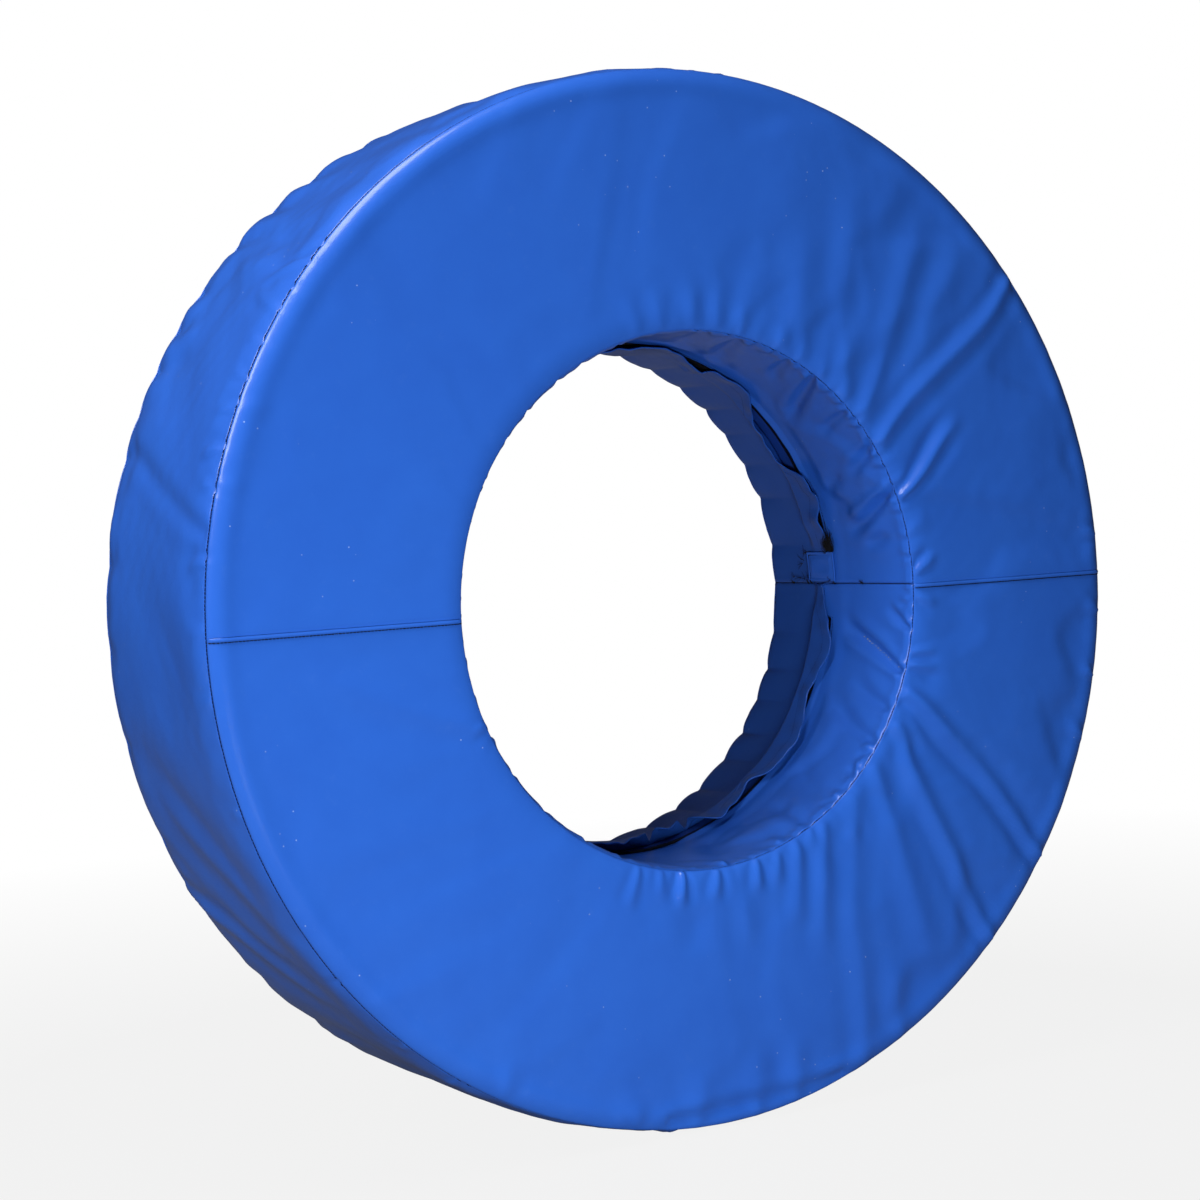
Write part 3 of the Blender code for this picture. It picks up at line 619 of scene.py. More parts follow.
# The cloth simulation: its grid's rows in each region and its columns, how many small waves it starts with, how
# many frames it runs, how much finer its result is read, and the least and the greatest swell kept of it, in mm
SIM_ROWS = (20, 22, 20, 22)
SIM_COLUMNS = 200
SIM_WAVES = 60
SIM_FRAMES = 20
SIM_FINER = 4
SIM_SWELL = (-2.0, 3.5)


def simulated_swell():
    """Cloth over the padding: a ring a little too large for its held seams, blown softly, as heights in mm."""
    rows = np.interp(np.arange(sum(SIM_ROWS)), np.cumsum([0, *SIM_ROWS]), SEAMS)
    angles = ring_angles(SIM_COLUMNS)
    radius, across, out, sideways = on_section(rows)
    grid = wheel_points(radius[:, None], across[:, None], angles[None, :])
    out, sideways, turned = np.broadcast_arrays(out[:, None], sideways[:, None], angles[None, :])
    normal = wheel_normals(out, sideways, turned)
    rng = np.random.default_rng(17)
    seed = np.zeros(grid.shape[:2])
    for _ in range(SIM_WAVES):
        waves, turns = rng.integers(4, 34), rng.integers(1, 9)
        phase, size = rng.uniform(0, FULL_TURN), rng.uniform(0.1, 0.5) * MM
        seed += size * np.sin(waves * angles[None, :] + turns * rows[:, None] / ROUND * 2 * math.pi + phase)
    held = np.zeros(len(rows), bool)
    held[np.cumsum([0, *SIM_ROWS])[:4]] = True
    seed[held] = 0
    start = grid + normal * seed[..., None]
    count, wide = len(rows), SIM_COLUMNS
    corners = np.arange(count * wide).reshape(count, wide)
    beside, below = np.roll(corners, -1, 1), np.roll(corners, -1, 0)
    faces = np.stack([corners, below, np.roll(below, -1, 1), beside], -1).reshape(-1, 4)
    blown = shaped("swelling_cover", start, faces.tolist())
    pins = blown.vertex_groups.new(name="seams")
    pins.add([int(v) for v in np.nonzero(np.repeat(held, wide))[0]], 1.0, "REPLACE")
    cloth = blown.modifiers.new("Cloth", "CLOTH")
    cloth.settings.quality = 5
    cloth.settings.mass = 0.3
    cloth.settings.tension_stiffness = cloth.settings.compression_stiffness = 25
    cloth.settings.shear_stiffness = 12
    cloth.settings.bending_stiffness = 18
    cloth.settings.air_damping = 2
    cloth.settings.shrink_min = cloth.settings.shrink_max = -0.008
    cloth.settings.use_pressure = True
    cloth.settings.uniform_pressure_force = 0.25
    cloth.settings.vertex_group_mass = "seams"
    cloth.settings.effector_weights.gravity = 0
    cloth.collision_settings.use_collision = False
    cloth.point_cache.frame_start, cloth.point_cache.frame_end = 1, SIM_FRAMES
    for each in range(1, SIM_FRAMES + 1):
        bpy.context.scene.frame_set(each)
    settled = blown.evaluated_get(bpy.context.evaluated_depsgraph_get()).to_mesh()
    points = np.empty(len(settled.vertices) * 3)
    settled.vertices.foreach_get("co", points)
    bpy.context.scene.frame_set(1)
    bpy.data.objects.remove(blown)
    moved = ((points.reshape(grid.shape) - grid) * normal).sum(-1) / MM
    print("simulated swell in mm, 1 10 50 90 99 per cent:", np.percentile(moved, [1, 10, 50, 90, 99]).round(2))
    return finely_read(np.clip(moved - np.median(moved), *SIM_SWELL))


def finely_read(heights):
    """The same closed surface of heights on a finer grid, without corners between its points."""
    count, wide = heights.shape
    spectrum = np.fft.fft2(heights)
    padded = np.zeros((count * SIM_FINER, wide * SIM_FINER), complex)
    for rows in (slice(0, count // 2), slice(-(count // 2) + 1, None)):
        for columns in (slice(0, wide // 2), slice(-(wide // 2) + 1, None)):
            padded[rows, columns] = spectrum[rows, columns]
    return np.fft.ifft2(padded).real * SIM_FINER**2


# Making pieces

def seam_rows(start, end, spacing, fine=(True, True)):
    """Distances walked from one seam to the next: close together beside a seam, evenly spaced between."""
    near = np.array([0.5, 1.1, 1.8, 2.7, 4.2, 6.6, 9.8, 14.0, 19.5, 25.0]) * MM
    head, tail = (near if wanted else near[:0] for wanted in fine)
    low, high = start + (head[-1] if len(head) else 0), end - (tail[-1] if len(tail) else 0)
    middle = np.linspace(low, high, max(2, int(round((high - low) / spacing)) + 1))
    rows = np.concatenate([[start], start + head[:-1], middle, (end - tail[:-1])[::-1], [end]])
    return np.unique(np.round(rows, 7))


def ring_angles(count):
    """Even angles once round the wheel."""
    return np.arange(count) * 2 * math.pi / count


def seamed_angles(count, radius):
    """Angles once round, close together beside the cross seam at 0."""
    near = np.array([0.3, 0.8, 1.5, 2.4, 4.0, 6.0, 9.0]) * MM / radius
    between = np.linspace(near[-1], FULL_TURN - near[-1], count)[1:-1]
    return np.concatenate([near, between, FULL_TURN - near[::-1]])


def cross_dip(angle, radius):
    """How far the cloth is drawn in along the cross seam, in metres."""
    off = np.abs((angle + math.pi) % FULL_TURN - math.pi) * radius / MM
    return (-2.6 * np.exp(-off / 1.0) + 0.5 * np.exp(-(((off - 3.5) / 2.5) ** 2))) * MM


def shaped(name, points, faces, finish=None):
    """A new smooth object from its points and faces."""
    mesh = bpy.data.meshes.new(name)
    mesh.from_pydata(np.reshape(points, (-1, 3)).tolist(), [], faces)
    mesh.shade_smooth()
    piece = bpy.data.objects.new(name, mesh)
    bpy.context.scene.collection.objects.link(piece)
    if finish:
        mesh.materials.append(finish)
    return piece


def cloth_mesh(name, points, closed, cloth_map, finish):
    """A sheet from a grid of points, rows by columns, with its cloth map in metres."""
    rows, columns = points.shape[:2]
    around = columns if closed else columns - 1
    j, i = np.meshgrid(np.arange(rows - 1), np.arange(around), indexing="ij")
    k = (i + 1) % columns
    faces = np.stack([j * columns + i, (j + 1) * columns + i, (j + 1) * columns + k, j * columns + k], -1)
    piece = shaped(name, points, faces.reshape(-1, 4).tolist(), finish)
    # The cloth map has one column more than the points, so that a closed ring's last faces don't run back
    u, v = cloth_map
    far_u = np.concatenate([u, 2 * u[:, -1:] - u[:, -2:-1]], 1)
    far_v = np.concatenate([v, v[:, -1:]], 1)
    around_face = ((j, i), (j + 1, i), (j + 1, i + 1), (j, i + 1))
    corners = np.stack([np.stack([far_u[a, b], far_v[a, b]], -1) for a, b in around_face], -2)
    piece.data.uv_layers.new(name="cloth").uv.foreach_set("vector", corners.reshape(-1).astype(np.float32))
    return piece


def chosen(piece):
    """Makes one object the only one that is selected, and the active one."""
    bpy.ops.object.select_all(action="DESELECT")
    piece.select_set(True)
    bpy.context.view_layer.objects.active = piece


def thickened(piece, thickness=CLOTH, offset=-1.0):
    """Gives a sheet its thickness: inwards, or to both sides with the offset 0."""
    chosen(piece)
    wall = piece.modifiers.new("Solidify", "SOLIDIFY")
    wall.thickness, wall.offset = thickness, offset
    bpy.ops.object.modifier_apply(modifier=wall.name)


def finished(piece, slot, *nodes):
    """Puts a piece on the wheel's body and in the place of its CAD nodes, which it hides. The slot is not used.
    """
    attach(piece, "wheel")
    if nodes:
        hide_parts(*nodes)
    return piece


def edge_angles(first, last, radius, count=340):
    """Columns between two cross seams: evenly spaced in angle, but in millimetres beside the seams."""
    mid = (RIM_SEAM + BORE) / 2
    near = np.array([0, 0.6, 1.5, 2.7, 3.6, 4.0, 4.4, 4.8, 5.2, 6.5, 9.5]) * MM
    span = (last - first) * mid
    middle = np.linspace(near[-1], span - near[-1], count)
    columns = np.concatenate([near[:-1], middle, (span - near[:-1])[::-1]])
    from_near = columns < span / 2
    edge = np.where(from_near, columns, span - columns)
    in_mm = 1 - smooth((edge - 0.015) / 0.05)
    turn = edge[None, :] * (in_mm / radius[:, None] + (1 - in_mm) / mid)
    return np.where(from_near, first + turn, last - turn), edge


def turned_edge(edge):
    """How far the lower panel's turned edge stands up beside a cross seam, and dips where it is topstitched."""
    allowance = 0.0015 * (1 - smooth((edge - 0.0036) / 0.0014))
    rounded = 0.0008 * np.exp(-(((edge - 0.0024) / 0.0016) ** 2))
    stitched_in = 0.0006 * np.exp(-(((edge - 0.0047) / 0.0011) ** 2))
    return allowance + rounded - stitched_in


def face_panel(cover, face, half, finish):
    """A half ring of a face. The lower one's turned edge stands on the upper one along both cross seams."""
    region = f"{face}_face"
    k = REGIONS.index(region)
    rows = seam_rows(SEAMS[k], SEAMS[k + 1], 5.2 * MM)
    radius = on_section(rows)[0]
    tuck = 0.005
    if half == "upper":
        angles, edge = edge_angles(-tuck / RIM, math.pi + tuck / RIM, radius)
        lift = -0.0004 * (1 - smooth((edge - tuck) / 0.003))
    else:
        angles, edge = edge_angles(math.pi, FULL_TURN, radius)
        lift = turned_edge(edge)
    ends = smooth((np.minimum(rows - rows[0], rows[-1] - rows) - 0.001) / 0.010)[:, None]
    points = cover.place(region, rows[:, None] + 0 * angles, angles, lift[None, :] * ends)[0]
    panel = cloth_mesh(f"face_cover_{face}_{half}", points, False, (points[..., 0], points[..., 2]), finish)
    thickened(panel)
    finished(panel, "cover_fabric", f"face_panel_{face}_{half}")


def tread_cover(cover, finish):
    """The wide outer band, closed by a cross seam at angle 0."""
    angles, rows = np.meshgrid(seamed_angles(700, RIM), seam_rows(SEAMS[0], SEAMS[1], 5.6 * MM))
    points = cover.place("tread", rows, angles, cross_dip(angles, RIM))[0]
    band = cloth_mesh("tread_cover", points, True, (angles * RIM, rows), finish)
    thickened(band)
    finished(band, "cover_fabric", "tread_band")


# Where the front strip's hem lies across the bore, as (angle, place across in mm)
HEM_EDGE = [
    (-180, 21), (-150, 20), (-120, 21.5), (-95, 20), (-84, 21), (-76, 24), (-69, 25.5), (-60, 24.6),
    (-52, 25.4), (-46, 24.8), (-38, 25.2), (-28, 25.4), (-20, 24.8), (-16.5, 23), (-15, 19), (-8.2, 19),
    (-7.4, 34), (-6.5, 38), (0, 38), (0.1, 30), (7.6, 28), (8.6, 20.5), (14, 19.5), (20, 18.5), (24, 20),
    (27, 24.8), (30, 25.6), (33, 24.6), (37, 25.8), (41, 25.2), (44, 26), (48, 25), (51, 24.8), (54, 20),
    (58, 19), (63, 20.5), (68, 21.5), (75, 19.5), (80, 21.5), (95, 20), (120, 21.5), (150, 20), (180, 21),
]


def front_hem(angle):
    return smooth_table(HEM_EDGE, signed_degrees(angle)) * MM


def smooth_table(places, at):
    """An even curve through hand-placed (place, value) pairs, which never overshoots them."""
    x, y = np.array(places, float).T
    k = np.clip(np.searchsorted(x, at, side="right") - 1, 0, len(x) - 2)
    t = (at - x[k]) / (x[k + 1] - x[k])
    rise = np.diff(y) / np.diff(x)
    slope = np.zeros(len(x))
    same = rise[:-1] * rise[1:] > 0
    slope[1:-1][same] = (2 * rise[:-1] * rise[1:])[same] / (rise[:-1] + rise[1:])[same]
    span = x[k + 1] - x[k]
    near = (2 * t**3 - 3 * t**2 + 1) * y[k] + (t**3 - 2 * t**2 + t) * span * slope[k]
    return near + (3 * t**2 - 2 * t**3) * y[k + 1] + (t**3 - t**2) * span * slope[k + 1]


def front_strip(cover, finish):
    """The bore's front wall, turned under at its hem beside the zip."""
    angles = seamed_angles(720, BORE)
    across = front_hem(angles)
    hem = bore_at(across)[None, :]
    fixed = seam_rows(SEAMS[3] - 0.09, SEAMS[3], 4.6 * MM, (False, True))
    between = hem + (fixed[0] - hem) * np.linspace(0, 1, 34)[:-1, None] ** 1.15
    rows = np.concatenate([between, np.repeat(fixed[:, None], len(angles), 1)])
    points, normal = cover.place("bore", rows, angles[None, :] + 0 * rows, cross_dip(angles, BORE)[None, :])
    from_hem = rows - hem
    over_coil = 0.0023 * smooth((across / MM - 22.5) / 2) * (across < 0.027)
    doubled = 0.0007 - 0.0006 * np.exp(-from_hem / 0.0022)
    stitched_in = 0.0006 * np.exp(-(((from_hem - HEM_STITCHES) / 0.0014) ** 2))
    rise = (over_coil[None, :] + doubled - stitched_in) * smooth(1 - from_hem / 0.012)
    points = points + normal * rise[..., None]
    strip = cloth_mesh("bore_cover_front", points, True, (angles[None, :] * BORE + 0 * rows, rows), finish)
    thickened(strip)
    finished(strip, "cover_fabric", "bore_strip_front")


# The flap: where its edge lies round the bore, as (angle, across) and (angle, radius) in degrees and mm

FLAP_EDGE = [
    (-180, 8), (-165, 14), (-150, 3), (-135, 12), (-120, 5), (-108, 14), (-98, 6), (-92, 20), (-86, 36),
    (-82.5, 52), (-80.5, 34), (-78.5, 36), (-75, 44), (-72, 54), (-70.8, 30), (-69, 2), (-65.5, 4),
    (-62.5, 11), (-59, 17), (-55, 26), (-52, 19), (-48.6, 3), (-43.4, 1), (-38.2, -3), (-33, 9), (-28.8, 16),
    (-24.7, 16), (-20.5, 6), (-16.4, -3), (-12.5, 2), (-9.3, 8), (-7.8, 15), (-5, 25), (-2, 33), (-0.4, 36),
    (-0.1, 30), (0.3, 12.5), (7.6, 12.5), (8.4, 17), (12.6, 12), (15.7, 9.5), (18.8, 3), (21.9, -4),
    (23.5, 4.7), (27.1, 7), (28.6, 20), (29.9, 34), (33.7, 39), (37, 42), (40.5, 37), (44.2, 36), (46.5, 28),
    (48.9, 16), (53.3, 0), (58.5, 3), (62.6, 9), (64, 22), (66.3, 16), (69, 15), (72.5, 7), (76, 0),
    (78.3, -5), (82, 6), (88, 12), (96, 4), (105, 14), (118, 5), (132, 13), (146, 3), (160, 14), (172, 6),
    (180, 8),
]
FLAP_LEVEL = [
    (-180, 291), (-150, 290), (-120, 291), (-95, 288), (-86, 285), (-82, 284), (-79, 287), (-76, 285),
    (-72.5, 284), (-71, 288), (-66, 291.5), (-60, 291.5), (-53, 290), (-46, 292), (-38, 292), (-28, 291),
    (-20, 291.2), (-15, 291.4), (-8, 292), (-5, 296), (-2.5, 299.5), (-0.4, 300.6), (-0.05, 302), (0, 302.2),
    (7.7, 302.0), (11.5, 297), (15.5, 291.4), (22, 291.4), (26, 292), (30, 290), (34, 288.5), (37, 288),
    (41, 289), (44, 290), (49, 293), (53.5, 296.5), (58.5, 297), (63, 297), (64.5, 293), (66.3, 291.5),
    (69, 295), (73, 297), (76, 298), (79, 298), (84, 296), (95, 291), (120, 290), (150, 291.5), (180, 291),
]


def flap_rows(angle):
    """The flap's middle line, from its root to its turned-under hem, as radii and places across."""
    degrees = signed_degrees(angle)
    edge = (0.45 * smooth_table(FLAP_EDGE, degrees) + 0.55 * np.interp(degrees, *np.array(FLAP_EDGE).T)) * MM
    level = smooth_table(FLAP_LEVEL, degrees) * MM + CLOTH / 2
    wall = BORE + CLOTH / 2
    stand = (wall - level) / (wall - FLAP_TOP)
    share = np.linspace(0, 1, FLAP_ROWS)[:, None]
    across = FLAP_ROOT + (edge - FLAP_ROOT)[None, :] * share
    # It leaves the wall over its first millimetres, and beyond them it hangs loose and ripples
    gone = (FLAP_ROOT - across) / FLAP_LEAVES
    loose = smooth((share - 0.25) / 0.75) * np.clip(stand, 0, 1)
    ripple = 0.0011 * np.sin(41 * angle + 3 * share) + 0.0009 * np.sin(67 * angle + 1.3) * share
    radius = wall + (level - wall)[None, :] * smooth(gone) - loose * ripple
    radius = radius + 0.0012 * loose * np.sin(share * math.pi * 1.6)
    # The hem: a tight bend, and the cloth turned back under itself
    turn = np.radians([45, 90, 135])[:, None]
    under = 0.00085
    bend_r = radius[-1:] + under / 2 * (1 - np.cos(turn))
    bend_y = across[-1:] - under / 2 * np.sin(turn)
    back = np.linspace(0, 1, 9)[:, None] * np.minimum(FLAP_HEM, 0.8 * (FLAP_ROOT - edge))[None, :]
    hem_y = across[-1:] + back
    hem_r = np.array([radius_at(y, *column) for y, *column in zip(hem_y.T, radius.T, across.T)]).T + under
    return np.concatenate([radius, bend_r, hem_r]), np.concatenate([across, bend_y, hem_y])


def radius_at(place, radius, across):
    """The flap's radius at a place across, from the radii and places of one of its sections."""
    return np.interp(place, across[::-1], radius[::-1])


def back_strip(cover, finish):
    """The bore's back wall, and the flap that it ends in: loose cloth with a doubled hem, over the zip."""
    angles = seamed_angles(900, BORE)
    wall_rows = seam_rows(SEAMS[2], bore_at(FLAP_ROOT), 4.6 * MM, (True, False))[:-1]
    rows = np.repeat(wall_rows[:, None], len(angles), 1)
    wall, normal = cover.place("bore", rows, angles[None, :] + 0 * rows)
    settle = smooth((bore_at(FLAP_ROOT) - rows) / 0.02)
    plain = wheel_points(*on_section(rows)[:2], angles[None, :] + 0 * rows)
    wall = plain + (wall - plain) * settle[..., None] - normal * CLOTH / 2
    radius, across = flap_rows(angles)
    points = np.concatenate([wall, wheel_points(radius, across, angles[None, :] + 0 * radius)])
    points = points + towards_axle(angles)[None] * cross_dip(angles, BORE)[None, :, None] * 0.6
    run = np.concatenate([rows, bore_at(across)])
    strip = cloth_mesh("bore_cover_back", points, True, (angles[None, :] * BORE + 0 * run, run), finish)
    thickened(strip, offset=0.0)
    finished(strip, "cover_fabric", "bore_strip_back")
    flat = (float(strip_area(points)) / BORE_ROUND, BORE_ROUND)


def strip_area(points):
    """The area of a closed ring of cloth, from its grid of points."""
    following = np.roll(points, -1, axis=1)
    a, b = following[1:] - points[:-1], points[1:] - following[:-1]
    return 0.5 * np.linalg.norm(np.cross(a, b), axis=-1).sum()


def underlap(finish):
    """The strip behind the flap that carries the zip's back tape."""
    angles = ring_angles(480)
    share = np.linspace(0, 1, 9)[:, None]
    degrees = signed_degrees(angles)
    # It is pulled back where the photograph shows the black tape beside it, and comes forward above that
    opened = np.maximum(np.exp(-(((degrees + 11) / 3.5) ** 4)), np.exp(-(((degrees - 19) / 3.5) ** 4)))
    closed = smooth((degrees - 25) / 2) * smooth((56 - degrees) / 2)
    edge = UNDERLAP_EDGE - 0.0018 * closed + 0.0032 * opened + 0.0003 * np.sin(29 * angles)
    across = edge[None, :] + (UNDERLAP_FAR - edge)[None, :] * share
    radius = BORE + CLOTH / 2 + 0.0003 * np.sin(23 * angles + 1)[None, :] * np.sin(share * math.pi)
    turned = angles[None, :] + 0 * radius
    points = wheel_points(radius, across, turned)[::-1]
    strip = cloth_mesh("zip_underlap_strip", points, True, (turned * BORE, across), finish)
    thickened(strip, offset=0.0)
    finished(strip, "cover_fabric", "zip_underlap")


def end_patch(finish):
    """The small square sewn over the ends of the zip and the flap, its corners a little lifted."""
    (start, end), (low, high) = PATCH_SPAN, PATCH_ACROSS
    width, length = high - low, (end - start) * BORE
    angles, across = np.meshgrid(np.linspace(start, end, 34), np.linspace(high, low, 38))
    u, v = (angles - start) / (end - start), (across - low) / width
    border = np.minimum(np.minimum(u, 1 - u) * length, np.minimum(v, 1 - v) * width)
    stitched_in = 0.0005 * np.exp(-(((border - 0.0035) / 0.0012) ** 2))
    level = PATCH_LEVEL + stitched_in - 0.0007 * smooth((border - 0.005) / 0.006)
    level = level - 0.0006 * np.sin(u * 7 + 1) * np.sin(v * 5) * smooth(border / 0.006)
    points = wheel_points(level, across, angles)
    patch = cloth_mesh("zip_end_patch_cloth", points, False, (angles * BORE, across), finish)
    thickened(patch, offset=0.0)
    finished(patch, "cover_fabric", "zip_end_patch")


# Materials, with their colours as linear red, green and blue

RUBBED_BLUE = (0.10, 0.22, 0.62)
DUST = (0.45, 0.56, 0.80)
UNDERLAP_BLUE, UNDERLAP_SHADE = (0.010, 0.045, 0.26), (0.007, 0.03, 0.19)
NAVY_GLINT = (0.010, 0.022, 0.11)
DARK_THREAD, DARK_GLINT = (0.005, 0.005, 0.012), (0.016, 0.014, 0.022)
BLACK_THREAD, BLACK_GLINT = (0.006, 0.006, 0.007), (0.02, 0.02, 0.022)
FOAM_PORE_SHADE, FOAM_GREY = (0.16, 0.165, 0.17), (0.34, 0.345, 0.35)
TAPE_BLACK, NYLON_BLACK, BLACK_SHEEN = (0.002, 0.002, 0.003), (0.003, 0.003, 0.004), (0.010, 0.010, 0.012)
METAL_DARK, METAL_GREY, METAL_RUBBED = (0.20, 0.20, 0.21), (0.34, 0.34, 0.35), (0.62, 0.60, 0.57)
# The bore's back strip lies in the wheel's own shade; this share of the cover's colours paints that shade into
# its cloth
BACK_STRIP_PAINTED_SHADE = 0.62


class Value:
    """A number that varies over a surface, so that shader maths reads as plain expressions."""

    def __init__(self, finish, socket):
        self.finish, self.socket = finish, socket

    def _joined(self, operation, first, second=None):
        sockets = {0: first} if second is None else {0: first, 1: second}
        return self.finish.node("ShaderNodeMath", {"operation": operation}, sockets)

    def __add__(self, other):
        return self._joined("ADD", self, other)

    def __sub__(self, other):
        return self._joined("SUBTRACT", self, other)

    def __rsub__(self, other):
        return self._joined("SUBTRACT", other, self)

    def __mul__(self, other):
        return self._joined("MULTIPLY", self, other)

    def __truediv__(self, other):
        return self._joined("DIVIDE", self, other)

    def __pow__(self, other):
        return self._joined("POWER", self, other)

    __radd__, __rmul__ = __add__, __mul__

    def done(self, operation):
        return self._joined(operation, self)

    def between(self, low, high):
        """0 below low, 1 above high."""
        sockets = {"Value": self, "From Min": low, "From Max": high}
        return self.finish.node("ShaderNodeMapRange", {"clamp": True}, sockets)


class Finish:
    """One material, made node by node."""

    def __init__(self, name, **constants):
        self.material = bpy.data.materials.new(name)
        self.material.use_nodes = True
        self.tree = self.material.node_tree
        self.shader = self.tree.nodes["Principled BSDF"]
        for socket, value in constants.items():
            self.shader.inputs[socket.replace("_", " ")].default_value = value

    def node(self, kind, settings=None, sockets=None, output=0):
        """A node with its settings made first, then its sockets given values or links. Returns one output."""
        made = self.tree.nodes.new(kind)
        for setting, value in (settings or {}).items():
            if setting == "stops":
                ramp = made.color_ramp
                while len(ramp.elements) < len(value):
                    ramp.elements.new(0.5)
                for element, (place, colour) in zip(ramp.elements, value):
                    element.position, element.color = place, (*colour, 1.0)
            else:
                setattr(made, setting, value)
        for socket, value in (sockets or {}).items():
            self.put(made.inputs[socket], value)
        return Value(self, made.outputs[output])

    def put(self, target, value):
        if isinstance(value, Value):
            self.tree.links.new(value.socket, target)
        elif isinstance(value, tuple) and len(value) == 3 and target.type == "RGBA":
            target.default_value = (*value, 1.0)
        else:
            target.default_value = value

    def give(self, socket, value):
        self.put(self.shader.inputs[socket], value)

    def place(self):
        return self.node("ShaderNodeTexCoord", output="Object")

    def cloth_map(self):
        return self.node("ShaderNodeUVMap", {"uv_map": "cloth"})

    def scaled(self, vector, size):
        return self.node("ShaderNodeMapping", {}, {"Vector": vector, "Scale": size})

    def noise(self, vector, scale, detail=2.0, roughness=0.5):
        sockets = {"Vector": vector, "Scale": scale, "Detail": detail, "Roughness": roughness}
        return self.node("ShaderNodeTexNoise", {}, sockets)

    def cells(self, vector, scale):
        sockets = {"Vector": vector, "Scale": scale, "Randomness": 1.0}
        return self.node("ShaderNodeTexVoronoi", {"feature": "F1"}, sockets)

    def mixed(self, share, first, second):
        return self.node("ShaderNodeMix", {"data_type": "RGBA"}, {0: share, 6: first, 7: second}, output=2)

    def bumped(self, *layers):
        """Bumps laid over each other: (height, depth in metres, strength) each."""
        normal = None
        for height, depth, strength in layers:
            sockets = {"Height": height, "Distance": depth, "Strength": strength}
            if normal is not None:
                sockets["Normal"] = normal
            normal = self.node("ShaderNodeBump", {}, sockets)
        self.give("Normal", normal)


def woven(finish, vector, pitch):
    """Plain weave under a coating: rounded threads that pass over and under each other."""
    parts = finish.node("ShaderNodeSeparateXYZ", {}, {0: vector}, output=0)
    other = Value(finish, parts.socket.node.outputs[1])
    turns = math.pi / pitch
    warp, weft = (parts * turns).done("SINE"), (other * turns).done("SINE")
    over = (warp * weft).between(-1.0, 1.0)
    return over * warp.done("ABSOLUTE") + (1 - over) * weft.done("ABSOLUTE")


def coated_fabric(name, colour, deep, roughness):
    """Blue vinyl-coated cloth: satin, finely woven, a little mottled and scuffed, with pale specks of dust."""
    finish = Finish(name, Specular_IOR_Level=0.25, Coat_Weight=0.8, Coat_Roughness=0.21, Coat_IOR=1.45)
    place, cloth = finish.place(), finish.cloth_map()
    broad = finish.noise(place, 3.2, 3.0, 0.55)
    mottle = finish.noise(place, 26.0, 4.0, 0.6)
    tone = (broad * 0.6 + mottle * 0.4).between(0.32, 0.68)
    base = finish.mixed(tone * 0.55, colour, deep)
    rubbed = finish.noise(place, 75.0, 5.0, 0.7).between(0.60, 0.80)
    worn = finish.mixed(rubbed * 0.10, base, RUBBED_BLUE)
    sparse = finish.noise(place, 9.0, 1.0).between(0.55, 0.62)
    dust = (1 - finish.cells(place, 62.0).between(0.035, 0.06)) * sparse
    finish.give("Base Color", finish.mixed(dust * 0.55, worn, DUST))
    finish.give("Roughness", roughness + (mottle - 0.5) * 0.16 + (broad - 0.5) * 0.10 + dust * 0.2)
    weave = woven(finish, cloth, 0.0011)
    grain = finish.noise(place, 900.0, 2.0, 0.6)
    slack = finish.noise(place, 19.0, 3.0, 0.45)
    finish.bumped((slack, 0.0045, 0.14), (mottle, 0.0010, 0.22), (weave, 0.00008, 0.55), (grain, 0.00004, 0.5))
    return finish.material


def thread(name, colour, glint):
    """Twisted sewing thread."""
    finish = Finish(name, Specular_IOR_Level=0.1)
    place = finish.place()
    twist = finish.noise(place, 1400.0, 2.0, 0.5)
    finish.give("Base Color", finish.mixed(twist.between(0.3, 0.7), colour, glint))
    finish.give("Roughness", 0.6 + twist * 0.25)
    finish.bumped((twist, 0.0002, 0.7))
    return finish.material


def foam(name):
    """Open-cell foam: matt, with many small pores, and the shade in them painted as a deeper grey."""
    finish = Finish(name, Roughness=0.92)
    place = finish.place()
    pores = finish.noise(place, 160.0, 4.0, 0.65)
    # Painted shade: the pores' noise turns the grey deeper, as if shade fell in them
    finish.give("Base Color", finish.mixed(pores.between(0.35, 0.65), FOAM_PORE_SHADE, FOAM_GREY))
    finish.bumped((finish.cells(place, 420.0), 0.0012, 0.8), (pores, 0.001, 0.5))
    return finish.material


def zip_tape(name):
    """Black herringbone tape."""
    finish = Finish(name, Specular_IOR_Level=0.15)
    cloth = finish.cloth_map()
    weave = woven(finish, cloth, 0.0006)
    fuzz = finish.noise(finish.place(), 700.0, 3.0, 0.6)
    finish.give("Base Color", finish.mixed(weave * 0.6 + fuzz * 0.3, TAPE_BLACK, BLACK_SHEEN))
    finish.give("Roughness", 0.72 + fuzz * 0.2)
    finish.bumped((weave, 0.00018, 0.8), (fuzz, 0.0001, 0.5))
    return finish.material


def zip_nylon(name):
    """Black nylon: the zip's coils."""
    finish = Finish(name, IOR=1.53, Specular_IOR_Level=0.3)
    fine = finish.noise(finish.place(), 500.0, 2.0)
    finish.give("Base Color", finish.mixed(fine.between(0.3, 0.7), NYLON_BLACK, BLACK_SHEEN))
    finish.give("Roughness", 0.3 + fine * 0.2)
    finish.bumped((fine, 0.00004, 0.5))
    return finish.material


def zip_metal(name):
    """Dark plated zinc: brushed along its length, rubbed paler on its high spots."""
    finish = Finish(name, Metallic=1.0)
    place = finish.place()
    brushed = finish.noise(finish.scaled(place, (300.0, 3600.0, 300.0)), 1.0, 3.0, 0.6)
    rub = finish.noise(place, 420.0, 4.0, 0.65).between(0.52, 0.72)
    base = finish.mixed(brushed, METAL_DARK, METAL_GREY)
    finish.give("Base Color", finish.mixed(rub * 0.55, base, METAL_RUBBED))
    finish.give("Roughness", 0.26 + brushed * 0.16 + rub * 0.08)
    finish.bumped((brushed, 0.00003, 0.6), (rub, 0.00005, 0.4))
    return finish.material


# Foam, stitches and the zip's parts

